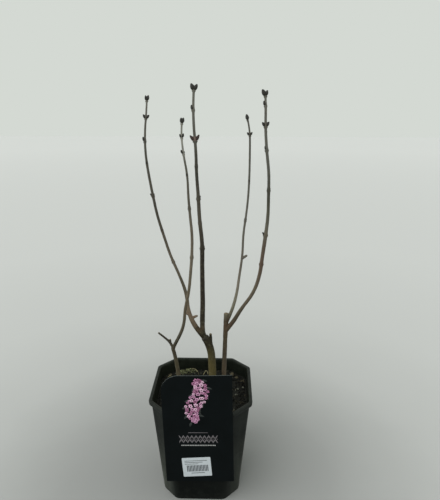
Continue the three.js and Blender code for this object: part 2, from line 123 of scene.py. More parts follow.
# A limb's lean to the right and to the back, in degrees from upright, and its widths are given at
# even steps along it.
STEMS = {
    "centre": dict(foot=(20.5, -4), length=111, lean=[-2, -1, -4.5, -30.5], back=[3],
                   widths=[15.4, 14.6, 14.4, 14.6], flare=3),
    "left": dict(foot=(-39, -6), length=99, lean=[-7.5, -6.5, -13.5], back=[-5],
                 widths=[8.8, 7.4, 7], flare=2),
    "right": dict(foot=(40.5, -4), length=159.5, lean=[1, 2.4], back=[2.7],
                  widths=[9.4, 8.8, 8.6, 9.4], flare=2.4),
}
BOUGHS = {
    "tall": dict(
        parent="centre", at=111, fork_length=34, length=459, elbow=-66, crown=150,
        lean=[24.5, 5.5, -0.5, -0.5, 0.5, -7, -2.5, -4.5, -1, -5.5, -1, 4], back=[-0.5, 2.5, 4],
        widths=[9.8, 8.8, 7.9, 6.6, 5.7, 4.8, 4],
        nodes=[pair(0.5, 25, RIGHT, 1.35, 1.45), pair(34.5, 20, LEFT, 1.1, 0.5),
               pair(88, 36, RIGHT, 1.5, 1.5, slim=0.75), pair(134, 24, BACK + 30, 0.75, 0.55),
               pair(190, 34, RIGHT, 0.7, 0.4), pair(236, 34, BACK, 0.5, 0.5),
               pair(281, 40, RIGHT, 0.6, 0.4)],
    ),
    "far_left": dict(
        parent="centre", at=111, fork_length=30, length=461, elbow=20, crown=110,
        lean=[-60.5, -30, -4.5, -21, -24.5, -17.5, -17.5, -11.5, -10.5, -8, -0.5, 6, 3], back=[6, 1],
        widths=[11, 7.2, 5, 5, 4.9, 4.6, 3.8, 3],
        nodes=[pair(0.5, 16, RIGHT + 30, 1.15, 1.05), pair(31.5, 38, RIGHT, 0.95, 0.95),
               pair(72, 24, LEFT, 1, 0.4), pair(113, 30, BACK, 0.6, 0.6),
               pair(171, 40, LEFT, 0.7, 0.5), pair(238, 36, BACK, 0.5, 0.5),
               pair(299, 30, RIGHT, 0.5, 0.5)],
        knobs=[knob(57, LEFT, 9.5, 6.5, 52), knob(48, RIGHT, 11.5, 5.5, 92)],
    ),
    "left": dict(
        parent="left", at=95.5, fork_length=26, length=425, elbow=-37, crown=90,
        lean=[48.5, 27.5, 4, 13, 5.5, 5, 1.5, -5, -4, -1, -10, -5, 6.5], back=[-5],
        widths=[6.6, 5.6, 5.2, 5.2, 4.8, 4, 3.3, 2.8],
        nodes=[pair(1, 13, RIGHT, 1.05, 1), pair(24.5, 26, RIGHT, 0.85, 0.75),
               pair(51, 26, LEFT, 0.85, 0.5), pair(88, 34, BACK, 0.55, 0.55),
               pair(145, 24, RIGHT, 0.5, 0.5), pair(234, 30, RIGHT, 0.5, 0.45),
               pair(310, 34, BACK, 0.4, 0.4)],
    ),
    "outer_right": dict(
        parent="right", at=124.5, fork_length=24, length=449, elbow=-19, crown=112,
        lean=[52, 29, 35, 17, 5.5, 7, 5.5, -0.5, 0, -7.5, -4.5, -0.5, -3.5], back=[-6.5, -1],
        widths=[9, 6.2, 6.4, 6.6, 5.4, 5, 4.6, 3.5],
        nodes=[pair(1, 22, LEFT, 1.35, 1.1), pair(17, 18, LEFT, 1, 0.35),
               pair(50.5, 36, RIGHT, 1.05, 1), pair(90, 16, LEFT, 0.9, 0.5),
               pair(159, 34, RIGHT, 0.5, 0.45), pair(240, 50, LEFT, 0.8, 0.4),
               pair(295, 36, LEFT, 0.5, 0.4)],
    ),
    "inner_right": dict(
        parent="right", at=138.3, fork_length=30, length=384, elbow=-18, crown=62,
        lean=[39, 18, 7.5, 8.5, 1, 8.5, 5.5, 2, 0.5, -0.5, -14], back=[7.5, 5.5],
        widths=[7, 5.2, 4.3, 3.9, 3.9, 3.7, 2.9],
        nodes=[pair(0.5, 0, LEFT, 1.2), pair(28.5, 40, RIGHT, 0.8, 0.8),
               pair(113, 30, BACK, 0.55, 0.55), pair(184, 30, RIGHT, 0.45, 0.45)],
        knobs=[knob(129, RIGHT, 10.5, 5.2, 56)],
    ),
}
STUBS = {
    "pruned": dict(start=(17, -1, 258), length=35, lean=[-1, -3], back=[0], widths=[9, 6.4, 5.2]),
    "dead_twig": dict(start=(-53, -14.4, 268), length=43, lean=[-9.5, -48.5, -51], back=[1],
                      widths=[5.2, 4.2, 3.4]),
    "spur": dict(start=(-56.8, -14.6, 276), length=12, lean=[-6], back=[0], widths=[4.4, 3.4]),
}
STUBS_ON = {"centre": ["pruned"], "left": ["dead_twig", "spur"], "right": []}

# ---- meshes

LEVEL = np.eye(3)[:2]  # the object's right and back
FLAT = np.eye(2)  # the card's right and up


def lookup(values, share):
    """The values given at even steps, read at shares 0 to 1 of their length."""
    values = np.resize(values, max(len(values), 2))
    return np.interp(share, np.linspace(0, 1, len(values)), values)


def smoothstep(x, low, high):
    t = np.clip((x - low) / (high - low), 0, 1)
    return t * t * (3 - 2 * t)


def noise_at(points, scale):
    """Smooth noise, about -1 to 1, at points whose coordinates are first multiplied by scale."""
    return np.array([noise.noise(Vector(p)) for p in np.asarray(points) * np.asarray(scale)])


def bell(x):
    return np.exp(-(x ** 2))


def unit(vector):
    return vector / np.linalg.norm(vector)


def any_turn():
    return rng.uniform(0, 2 * pi)


def turns(count):
    """The angles of points spaced evenly round a ring."""
    return np.arange(count) * 2 * pi / count


def ring(centre, right, up, count, wide, high=None):
    """Points round a centre. Its half sizes wide and high may differ from point to point."""
    high = wide if high is None else high
    return (centre + (wide * np.cos(turns(count)))[:, None] * right
            + (high * np.sin(turns(count)))[:, None] * up)


def add_object(name, data):
    thing = bpy.data.objects.new(name, data)
    bpy.context.collection.objects.link(thing)
    return thing


def add_mesh(name, points, faces, materials=()):
    mesh = bpy.data.meshes.new(name)
    mesh.from_pydata((np.asarray(points, float) * MM).tolist(), [], faces)
    for material in materials:
        mesh.materials.append(material)
    return add_object(name, mesh)


def bake(piece):
    """Puts what a piece's modifiers make into its mesh."""
    evaluated = piece.evaluated_get(bpy.context.evaluated_depsgraph_get())
    mesh = bpy.data.meshes.new_from_object(evaluated)
    piece.modifiers.clear()
    piece.data = mesh
    return mesh


class Gather:
    """Closed shapes that become one piece. Each has a kind, the number of its material."""

    def __init__(self, *shapes):
        self.points, self.faces, self.kinds, self.count = [], [], [], 0
        for shape in shapes:
            self.add(*shape)

    def add(self, points, faces, kind=0):
        self.points.append(np.asarray(points, float))
        self.faces += [tuple(i + self.count for i in face) for face in faces]
        self.kinds += list(kind) if hasattr(kind, "__len__") else [kind] * len(faces)
        self.count += len(points)

    def piece(self, name, slot, materials, replaced=(), smooth=True):
        """The shapes in one piece on the plant's one body. It may take the place of nodes."""
        piece = add_mesh(name, np.vstack(self.points), self.faces, materials)
        piece.data.polygons.foreach_set("material_index", self.kinds)
        piece.data.polygons.foreach_set("use_smooth", [smooth] * len(self.faces))
        piece.data.update()
        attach(piece, "root")
        if replaced:
            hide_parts(*replaced)
        return piece


def loft(rings):
    """A skin over rings of equally many points, closed by a fan at each end."""
    points = np.vstack([rings[0].mean(axis=0), *rings, rings[-1].mean(axis=0)])
    count = len(rings[0])
    top = len(points) - 1 - count
    faces = []
    for k in range(count):
        n = (k + 1) % count
        faces.append((0, 1 + n, 1 + k))
        faces += [(a + k, a + n, a + count + n, a + count + k) for a in range(1, top, count)]
        faces.append((top + k, top + n, top + count))
    return points, faces


def sheet(front, back, kind=lambda row, column: 0):
    """A closed sheet between two grids of points. The faces of its rim are of kind 1."""
    rows, wide = front.shape[:2]
    grid = np.arange(rows * wide).reshape(rows, wide)
    faces, kinds = [], []
    for row in range(rows - 1):
        for column in range(wide - 1):
            a = row * wide + column
            quad = (a, a + 1, a + wide + 1, a + wide)
            faces += [quad, tuple(i + grid.size for i in reversed(quad))]
            kinds += [kind(row, column)] * 2
    rim = np.concatenate([grid[0], grid[1:, -1], grid[-1, -2::-1], grid[-2:0:-1, 0]]).tolist()
    for a, b in zip(rim, rim[1:] + rim[:1]):
        faces.append((b, a, a + grid.size, b + grid.size))
        kinds.append(1)
    return np.vstack([front.reshape(-1, 3), back.reshape(-1, 3)]), faces, kinds


def scaled(rings, shares):
    """Rings drawn in or out from their own middles."""
    return [rim.mean(axis=0) + (rim - rim.mean(axis=0)) * share for rim, share in zip(rings, shares)]


def ball(centre, radius):
    return loft([ring((*centre[:2], centre[2] + radius * up), *LEVEL, 16, radius * sqrt(1 - up * up))
                 for up in np.linspace(-0.97, 0.97, 9)])


GOLDEN = (1 + sqrt(5)) / 2
ICO_POINTS = np.array([
    (-1, GOLDEN, 0), (1, GOLDEN, 0), (-1, -GOLDEN, 0), (1, -GOLDEN, 0),
    (0, -1, GOLDEN), (0, 1, GOLDEN), (0, -1, -GOLDEN), (0, 1, -GOLDEN),
    (GOLDEN, 0, -1), (GOLDEN, 0, 1), (-GOLDEN, 0, -1), (-GOLDEN, 0, 1),
]) / sqrt(1 + GOLDEN ** 2)
ICO_FACES = [
    (0, 11, 5), (0, 5, 1), (0, 1, 7), (0, 7, 10), (0, 10, 11), (1, 5, 9), (5, 11, 4),
    (11, 10, 2), (10, 7, 6), (7, 1, 8), (3, 9, 4), (3, 4, 2), (3, 2, 6), (3, 6, 8),
    (3, 8, 9), (4, 9, 5), (2, 4, 11), (6, 2, 10), (8, 6, 7), (9, 8, 1),
]


def tumbled(points, angles):
    return points @ np.array(Euler(angles).to_matrix()).T


def pebble(centre, sizes, rough):
    """A lump of twenty faces, its three half sizes along random axes."""
    angles = [any_turn() for _ in range(3)]
    jitter = np.array([1 + rng.uniform(-rough, rough) for _ in ICO_POINTS])
    return centre + tumbled(ICO_POINTS * jitter[:, None] * sizes, angles), ICO_FACES


# ---- materials

def srgb(red, green, blue):
    def linear(value):
        value /= 255
        return value / 12.92 if value <= 0.04045 else ((value + 0.055) / 1.055) ** 2.4
    return (linear(red), linear(green), linear(blue), 1.0)


class Paint:
    """A node material, laid over a base colour. Patterns lie in the object's own space, in metres."""

    def __init__(self, name, roughness, specular):
        self.material = bpy.data.materials.new(name)
        self.material.use_nodes = True
        self.tree = self.material.node_tree
        self.shader = self.tree.nodes["Principled BSDF"]
        self.shader.inputs["Roughness"].default_value = roughness
        self.shader.inputs["Specular IOR Level"].default_value = specular
        coordinates = self.tree.nodes.new("ShaderNodeTexCoord")
        self.place, self.facing = coordinates.outputs["Object"], coordinates.outputs["Normal"]

    def wire(self, value, socket):
        if isinstance(value, bpy.types.NodeSocket):
            self.tree.links.new(value, socket)
        else:
            socket.default_value = value

    def node(self, kind, output, inputs, **settings):
        """One output of a new node. Each input takes a value or another node's output."""
        node = self.tree.nodes.new(f"ShaderNode{kind}")
        for name, setting in settings.items():
            setattr(node, name, setting)
        for key, value in inputs.items():
            self.wire(value, node.inputs[key])
        return node.outputs[output]

    def stretched(self, x, y, z):
        return self.node("Mapping", "Vector", {"Vector": self.place, "Scale": (x, y, z)})

    def noise(self, scale, detail=4.0, rough=0.55, space=None):
        return self.node("TexNoise", "Fac", {"Vector": space or self.place, "Scale": scale,
                                             "Detail": detail, "Roughness": rough})

    def range(self, value, low, high, to_low=0.0, to_high=1.0):
        return self.node("MapRange", "Result", dict(enumerate((value, low, high, to_low, to_high))))

    def math(self, operation, a, b):
        return self.node("Math", 0, {0: a, 1: b}, operation=operation)

    def times(self, product, *factors):
        for factor in factors:
            product = self.math("MULTIPLY", product, factor)
        return product

    def across(self, axis):
        return self.node("SeparateXYZ", axis, {0: self.place})

    def along(self, axis, low, high, to_low=0.0, to_high=1.0):
        """to_low at low and to_high at high along an axis of the object, in millimetres."""
        return self.range(self.across(axis), low * MM, high * MM, to_low, to_high)

    def outwards(self):
        """Above 0 on skin that faces away from the object's middle line, below 0 on skin towards it."""
        level = self.node("VectorMath", 0, {0: self.place, 1: (1, 1, 0)}, operation="MULTIPLY")
        return self.node("VectorMath", "Value", {0: level, 1: self.facing}, operation="DOT_PRODUCT")

    def sideways(self, low, high):
        """0 up to a share low of the way from the front and back round to the sides, 1 from high."""
        x, y = (self.math("ABSOLUTE", self.across(axis), 0.0) for axis in "XY")
        return self.range(self.math("DIVIDE", x, self.math("ADD", x, y)), low, high)

    def ramp(self, value, stops):
        """The base takes colours at places 0 to 1 of value."""
        self.base = self.node("ValToRGB", "Color", {"Fac": value})
        band = self.base.node.color_ramp
        while len(band.elements) < len(stops):
            band.elements.new(0.5)
        for element, (place, _) in zip(band.elements, stops):
            element.position = place
        for element, (_, colour) in zip(band.elements, stops):
            element.color = srgb(*colour)

    def mix(self, share, below, above, mode="MIX"):
        self.base = self.node("Mix", 2, {"Factor": share, 6: below, 7: above},
                              data_type="RGBA", blend_type=mode)

    def start(self, value, low, high, dark, light):
        """The base goes from dark to light as value goes from low to high."""
        self.mix(self.range(value, low, high), srgb(*dark), srgb(*light))

    def over(self, value, low, high, most, colour, mode="MIX"):
        """Lays a colour over the base, by none where value is low and by a share most where it's high."""
        self.mix(self.range(value, low, high, 0, most), self.base, srgb(*colour), mode)

    def where(self, colour, *shares):
        """Lays a colour over the base, by the product of shares."""
        self.mix(self.times(*shares), self.base, srgb(*colour))

    def bump(self, value, depth_mm, strength=1.0):
        normal = self.shader.inputs["Normal"]
        raised = self.node("Bump", "Normal", {"Strength": strength, "Distance": depth_mm * MM,
                                              "Height": value})
        if normal.is_linked:
            self.wire(normal.links[0].from_socket, raised.node.inputs["Normal"])
        self.wire(raised, normal)

    def done(self, rough=None):
        self.wire(self.base, self.shader.inputs["Base Color"])
        if rough is not None:
            self.wire(rough, self.shader.inputs["Roughness"])
        return self.material


BARK_WANDER = 10  # how far the bands of colour on bark stray up and down


def bark_paint(name, stops, old):
    """Bark whose colours lie at heights, with warm and olive stretches. old, 0 to 1, adds cracks."""
    paint = Paint(name, 0.7, 0.35)
    low, high = stops[0][0], stops[-1][0]
    stray = BARK_WANDER / (high - low)
    wander = paint.range(paint.noise(26, 3), 0.3, 0.7, -stray, stray)
    paint.ramp(paint.math("ADD", paint.along("Z", low, high), wander),
               [((z - low) / (high - low), colour) for z, colour in stops])
    stretches = paint.noise(22, 2)
    paint.over(stretches, 0.52, 0.66, 0.4, (106, 80, 68), "SOFT_LIGHT")
    paint.over(stretches, 0.48, 0.34, 0.3, (48, 50, 34))
    streaks = paint.noise(1, 5, 0.6, paint.stretched(900, 900, 90))
    mottle = paint.noise(170, 4, 0.6)
    paint.over(streaks, 0.45, 0.68, 0.5, (150, 138, 116), "SOFT_LIGHT")
    paint.over(streaks, 0.5, 0.34, 0.28 + 0.42 * old, (24, 20, 15))
    paint.over(mottle, 0.52, 0.7, 0.2 + 0.3 * old, (104, 100, 80))
    pores = paint.node("TexVoronoi", "Distance", {"Vector": paint.stretched(420, 420, 230), "Scale": 1})
    paint.over(pores, 0.2, 0.1, 0.15 + 0.25 * old, (120, 106, 86))
    paint.bump(streaks, 0.25 + 0.35 * old)
    paint.bump(mottle, 0.12)
    return paint.done(paint.range(mottle, 0.3, 0.7, 0.55, 0.85))


def scale_paint(name, dark, light):
    """A bud scale: darker in streaks, with a soft waxy gloss."""
    paint = Paint(name, 0.5, 0.4)
    streaks = paint.noise(1, 3, 0.5, paint.stretched(1500, 1500, 500))
    paint.start(streaks, 0.35, 0.65, dark, light)
    paint.over(paint.noise(420, 2), 0.5, 0.75, 0.5, dark)
    paint.bump(streaks, 0.08)
    return paint.done()


def grain_paint(name, dark, light, scale=700, roughness=0.95, depth=0.3):
    """Earth, chips, grit and moss: two colours in fine grains."""
    paint = Paint(name, roughness, 0.25)
    grains = paint.noise(scale, 5, 0.65)
    paint.start(grains, 0.36, 0.64, dark, light)
    paint.bump(grains, depth)
    return paint.done()


def wood_end_paint():
    """A weathered flat cut: fibres and a grey skin."""
    paint = Paint("cut_wood", 0.85, 0.2)
    fibres = paint.noise(1600, 3)
    paint.start(fibres, 0.35, 0.65, (84, 72, 56), (136, 122, 98))
    paint.over(paint.noise(260, 3), 0.45, 0.7, 1, (70, 64, 54))
    paint.bump(fibres, 0.15)
    return paint.done()


def pot_paint():
    """Black moulded plastic: satin and cloudy, scuffed, dusty inside, low down and on the rim, with painted
    reflection lightening the outer flanks, more on the left.
    """
    paint = Paint("pot_plastic", 0.45, 0.1)
    cloud, dust = paint.noise(14, 4), paint.noise(90, 6, 0.7)
    scuffs = paint.noise(1, 4, 0.6, paint.stretched(240, 240, 16))
    streaks = paint.noise(1, 3, 0.5, paint.stretched(70, 70, 9))
    paint.start(cloud, 0.35, 0.7, (8, 11, 10), (14, 18, 16))
    paint.over(dust, 0.56, 0.8, 0.12, (60, 62, 56))
    paint.where((64, 68, 64), paint.range(dust, 0.42, 0.6), paint.along("Z", 40, 2), 0.14)
    paint.over(scuffs, 0.64, 0.78, 0.16, (64, 68, 64))
    # Painted reflection and light on the outer flanks: lighter towards the sides and low down, and stronger on
    # the left, the side the stronger lamps shine from. The same left-heavy mask also weights the dust inside.
    left_light_and_dust = paint.along("X", -40, 40, 1, 0.66)
    outside = paint.times(paint.range(paint.outwards(), 0.0, 0.02), left_light_and_dust)
    flank_reflection = paint.times(paint.range(streaks, 0.3, 0.68, 0.35, 1), outside, paint.sideways(0.34, 0.48))
    paint.where((50, 55, 50), flank_reflection, paint.along("Z", 190, 20, 0.4, 0.6))
    paint.where((86, 90, 82), flank_reflection, paint.sideways(0.4, 0.62), paint.along("Z", 130, 20))
    inside = paint.range(paint.outwards(), 0.0, -0.02, 0, 0.55)
    paint.where((40, 44, 34), inside, left_light_and_dust, paint.range(dust, 0.3, 0.6, 0.5, 1))
    paint.where((104, 108, 100), paint.range(dust, 0.3, 0.6), paint.along("Z", 184, 190), 0.1)
    paint.bump(paint.noise(1400, 2), 0.03)
    paint.bump(cloud, 0.5, 0.5)
    return paint.done(paint.range(dust, 0.35, 0.7, 0.36, 0.56))


def card_paint():
    """Printed plastic card, near black and satin, with faint handling marks."""
    paint = Paint("card_face", 0.42, 0.08)
    tint = paint.noise(30, 3)
    marks = paint.noise(1, 5, 0.7, paint.stretched(60, 60, 420))
    paint.start(tint, 0.3, 0.7, (6, 11, 12), (10, 16, 18))
    paint.over(marks, 0.66, 0.8, 0.06, (60, 66, 68))
    paint.bump(tint, 0.6, 0.4)
    return paint.done(paint.range(marks, 0.4, 0.75, 0.38, 0.52))


def ink_paint(name, colour, shade, scale=900):
    """Print or label stock: one colour with a faint uneven lay."""
    paint = Paint(name, 0.5, 0.4)
    lay = paint.noise(scale, 2)
    paint.start(lay, 0.35, 0.65, colour, shade)
    paint.bump(lay, 0.01)
    return paint.done()


# ---- limbs

def grow(limb):
    """Adds the limb's route in even steps, each one leaning as the limb's lists say."""
    steps = np.arange(ROUTE_STEP / 2, limb["length"], ROUTE_STEP)
    share = steps / limb["length"]
    bend = limb.get("elbow", 0) * np.exp(-steps / ELBOW_REACH)
    lean = np.radians(lookup(limb["lean"], share) + bend)
    back = np.radians(lookup(limb["back"], share))
    heading = np.stack([np.tan(lean), np.tan(back), np.ones_like(lean)], axis=1)
    heading *= ROUTE_STEP / np.linalg.norm(heading, axis=1)[:, None]
    start = np.array(limb["start"], float)
    limb["route"] = np.vstack([start, start + np.cumsum(heading, axis=0)])
    return limb


def frames(limb, s):
    """Centres, directions and the two axes of the section at lengths s along the limb."""
    s = np.atleast_1d(np.asarray(s, float))
    at = np.arange(len(limb["route"])) * ROUTE_STEP

    def point(lengths):
        return np.stack([np.interp(lengths, at, limb["route"][:, k]) for k in range(3)], axis=1)
    along = point(np.minimum(s + 2, at[-1])) - point(np.maximum(s - 2, 0))
    along /= np.linalg.norm(along, axis=1)[:, None]
    right = np.array([1.0, 0, 0]) - along * along[:, :1]
    right /= np.linalg.norm(right, axis=1)[:, None]
    return point(s), along, right, np.cross(along, right)


def buds_of(node):
    """The compass direction and the size of each of a node's buds."""
    return [(node["compass"] + 180 * i, size) for i, size in enumerate(node["sizes"])]


CUSHION = 0.3  # how far the leaf cushion under a bud stands out, as a share of the radius
CUSHION_DROP = 2.2  # from the bud down to the cushion's middle
CUSHION_REACH, CUSHION_TURN = 2.0, 0.6  # how far it spreads along the limb and, in radians, round it
RIB = 0.07  # the low rib that runs down from the cushion, as a share of the radius
RIB_REACH, RIB_TURN = 22, 0.3


def radii(limb, s, angles=None):
    """The limb's radius at lengths s, or at lengths s by angles with cushions and ribs."""
    s = np.atleast_1d(np.asarray(s, float))
    radius = lookup(limb["widths"], s / limb["length"]) / 2
    radius = radius + limb.get("flare", 0) / 2 * np.exp(-s / FLARE_REACH)
    for node in limb.get("nodes", ()):
        away = (s - (limb["length"] - node["down"])) / NODE_REACH
        radius = radius * (1 + NODE_SWELL * max(node["sizes"]) * np.exp(-away * away * 2))
    if angles is None:
        return radius
    shape = np.ones((len(s), len(angles)))
    for node in limb.get("nodes", ()):
        foot = limb["length"] - node["down"]
        for compass, size in buds_of(node):
            turn = (angles - radians(compass) + pi) % (2 * pi) - pi
            pad = bell((s - foot + CUSHION_DROP) / CUSHION_REACH)[:, None] * bell(turn / CUSHION_TURN)
            shape += CUSHION * sqrt(size) * pad
            down = np.where(s < foot, np.exp(-(foot - s) / RIB_REACH), 0)[:, None]
            shape += RIB * down * bell(turn / RIB_TURN)
    return radius[:, None] * shape


def limb_rings(limb, low, high, step, sides, relief=0):
    """Rings of a stretch of limb, with bark relief of a height."""
    s = np.linspace(low, high, max(2, int((high - low) / step) + 1))
    angles = turns(sides)
    centre, _, right, back = frames(limb, s)
    if limb.get("foot") and low == 0:
        right[0], back[0] = LEVEL
    out = (np.cos(angles)[None, :, None] * right[:, None, :]
           + np.sin(angles)[None, :, None] * back[:, None, :])
    radius = radii(limb, s, angles)
    points = centre[:, None, :] + radius[..., None] * out
    if relief:
        flat = points.reshape(-1, 3)
        rise = noise_at(flat, (0.55, 0.55, 0.07)) + 0.5 * noise_at(flat, (1.3, 1.3, 0.3))
        points = points + (relief * rise).reshape(radius.shape)[..., None] * out
    return list(points)


def side_frame(limb, s, turn):
    """A limb's middle and direction at s, the outward direction at an angle and the one across both."""
    centre, along, right, back = (v[0] for v in frames(limb, s))
    out = right * cos(turn) + back * sin(turn)
    return centre, along, out, np.cross(along, out)


SEAT = 0.45  # how far out a bud or knob is seated, as a share of the radius, if it stands square off


def sprout_frame(limb, s, compass, spread):
    """Seat, side direction, upward direction and direction of growth of a bud or knob."""
    tilt = radians(spread)
    centre, along, out, side = side_frame(limb, s, radians(compass))
    growth = along * cos(tilt) + out * sin(tilt)
    return centre + out * radii(limb, s)[0] * SEAT * sin(tilt), side, np.cross(growth, side), growth


def bud_profile(z):
    """Half width of a bud, as a share of its greatest, at shares z of its length."""
    lower = np.sqrt(np.clip((z + 0.1) / 0.4, 0, 1))
    upper = np.cos(np.clip((z - 0.3) / 0.72, 0, 1) * pi / 2) ** 0.6
    return np.where(z < 0.3, lower, upper)


BUD_TIERS = [(-0.08, 0.52), (-0.02, 0.72), (0.06, 0.88), (0.16, 1.0)]  # foot and tip of each pair
SCALE_SPAN = 1.5  # half the angle that a scale wraps at its foot
SCALE_ROWS, SCALE_COLUMNS = 8, 9
SCALE_SKIN = 0.22


def bud_scale(tier, facing, length, width):
    """One scale: a keeled pointed shell, with its margin as a kind of its own."""
    foot, tip = BUD_TIERS[tier]
    v = np.linspace(0, 1, SCALE_ROWS)[:, None]
    u = np.linspace(-1, 1, SCALE_COLUMNS)
    z = foot + (tip - foot) * (v - 0.04 * np.abs(u) * v)
    angle = facing + u * SCALE_SPAN * np.clip(1 - v ** 2.2, 0.002, 1) ** 0.65
    lift = 0.9 + 0.05 * (len(BUD_TIERS) - tier)
    radius = width / 2 * bud_profile(z) * lift + 0.06 * width * (1 - np.abs(u)) ** 2 * (1 - v * 0.4)
    radius = radius + 0.03 * width * v ** 3

    def skin(r):
        return np.stack([r * np.cos(angle), r * np.sin(angle), z * length], axis=-1)

    def kind(row, column):
        return int(column in (0, SCALE_COLUMNS - 2) or row == SCALE_ROWS - 2)
    return sheet(skin(radius), skin(np.maximum(radius - SCALE_SKIN, 0.05)), kind)


def bud_shapes(length, width):
    """A bud that grows along z: a core in pairs of scales, each pair across the last."""
    z = np.linspace(-0.1, 1, 9)
    points, faces = loft([ring((0, 0, h * length), *LEVEL, 10, half)
                          for h, half in zip(z, np.maximum(bud_profile(z), 0.03) * width * 0.42)])
    scales = [bud_scale(tier, facing + tier * pi / 2, length, width)
              for tier in range(len(BUD_TIERS)) for facing in (0, pi)]
    return [(points, faces, [0] * len(faces)), *scales]


def add_bud(gather, limb, s, compass, spread, length, width, kinds):
    """A bud on its limb. kinds numbers the materials of its scales and of their margins."""
    seat, side, up, growth = sprout_frame(limb, s, compass, spread)
    for points, faces, parts in bud_shapes(length, width):
        placed = seat + points[:, :1] * side + points[:, 1:2] * up + points[:, 2:] * growth
        gather.add(placed, faces, [kinds[part] for part in parts])


SCAR_TILT = 0.5  # how far a scar faces up, in radians
SCAR_STEPS = ((0.9, -0.5), (1, 0), (0.8, 0.16), (0.45, 0.1))  # each ring's share and height


def add_scar(gather, limb, s, compass, size):
    """The raised shield that a fallen leaf left below its bud."""
    centre, along, out, side = side_frame(limb, s, radians(compass))
    face = out * cos(SCAR_TILT) + along * sin(SCAR_TILT)
    rise = along * cos(SCAR_TILT) - out * sin(SCAR_TILT)
    seat = centre + out * radii(limb, s)[0] * (1 + CUSHION * sqrt(size) * 0.92)
    across, up = np.cos(turns(12)), np.sin(turns(12))
    outline = np.stack([across * 1.5, up * 0.8 - 0.25 * across ** 2], axis=1) * sqrt(size)
    gather.add(*loft([seat + outline[:, :1] * share * side + outline[:, 1:] * share * rise + height * face
                      for share, height in SCAR_STEPS]))


def add_lenticels(gather, limb, low, high, spacing):
    """Pale raised pores scattered over a stretch of limb."""
    for _ in range(int((high - low) / spacing)):
        s, turn = rng.uniform(low, high), any_turn()
        centre, along, out, side = side_frame(limb, s, turn)
        seat = centre + out * (radii(limb, s, np.array([turn]))[0, 0] + 0.02)
        rim = ring(seat, along, side, 6, rng.uniform(0.4, 0.85), rng.uniform(0.22, 0.36))
        faces = [(0, 1 + (k + 1) % 6, 1 + k) for k in range(6)]
        faces += [(7, 1 + k, 1 + (k + 1) % 6) for k in range(6)]
        gather.add([seat + out * 0.2, *rim, seat - out * 0.3], faces)


CUT_SHARE = 0.86  # of the limb's radius
CUT_STEPS = (  # each ring's share of the radius, and its height
    (1, -0.8), (1, 0.12), (0.8, 0.2), (0.45, 0.16), (0.2, 0.05), (0.12, -0.25),
)


def add_cut(gather, limb):
    """The flat cut at a limb's end: sunken pith, wood and a raised rim of bark."""
    s = limb["length"]
    centre, along, right, back = (v[0] for v in frames(limb, s))
    radius = radii(limb, s)[0] * CUT_SHARE * (1 + 0.05 * np.sin(turns(18) * 3 + s))
    gather.add(*loft([ring(centre + along * height, right, back, 18, radius * share)
                      for share, height in CUT_STEPS]))


STUMP_PROFILE = ([-0.1, 0.1, 0.4, 0.78, 0.93, 1.0], [1.15, 1.02, 0.9, 0.78, 0.62, 0.3])


def stump(limb, shape):
    """The knob that a lost side shoot left."""
    seat, side, up, growth = sprout_frame(limb, shape["up"], shape["compass"], shape["spread"])
    z, angles = np.linspace(-0.1, 0.99, 14), turns(16)
    rings = []
    for share, half in zip(z, np.interp(z, *STUMP_PROFILE) * shape["width"] / 2):
        rim = half * (1 + 0.07 * np.sin(angles * 3 + share * 4) + 0.05 * np.sin(angles * 7 + share * 9))
        rings.append(ring(seat + growth * share * shape["length"], side, up, 16, rim))
    return loft(rings)


VOXEL = 0.55
BARK_RELIEF = 0.42


def fused_stem(node, shapes, material):
    """Limbs that run into each other: remeshed as one skin, smoothed and given bark relief."""
    piece = Gather(*shapes).piece(f"{node}_bark", "old_bark", [material], (node,))
    remesh = piece.modifiers.new("fuse", "REMESH")
    remesh.mode, remesh.voxel_size = "VOXEL", VOXEL * MM
    smooth = piece.modifiers.new("smooth", "SMOOTH")
    smooth.factor, smooth.iterations = 0.5, 5
    fused = bake(piece)
    points, normals = np.empty((2, len(fused.vertices) * 3))
    fused.vertices.foreach_get("co", points)
    fused.vertex_normals.foreach_get("vector", normals)
    points, normals = points.reshape(-1, 3) / MM, normals.reshape(-1, 3)
    cracks = 1 - np.abs(noise_at(points, (0.42, 0.42, 0.055))) * 2
    grain = noise_at(points, (0.9, 0.9, 0.2))
    lumps = noise_at(points, (0.12, 0.12, 0.08))
    rise = BARK_RELIEF * (0.45 * lumps + 0.3 * grain - 0.55 * np.clip(cracks, 0, 1) ** 3)
    level = smoothstep(points[:, 2], SOIL["top"] + GAP + 0.5, SOIL["top"] + 4)
    points = points + normals * (rise * level)[:, None]
    fused.vertices.foreach_set("co", (points * MM).ravel())
    fused.polygons.foreach_set("use_smooth", [True] * len(fused.polygons))
    fused.update()
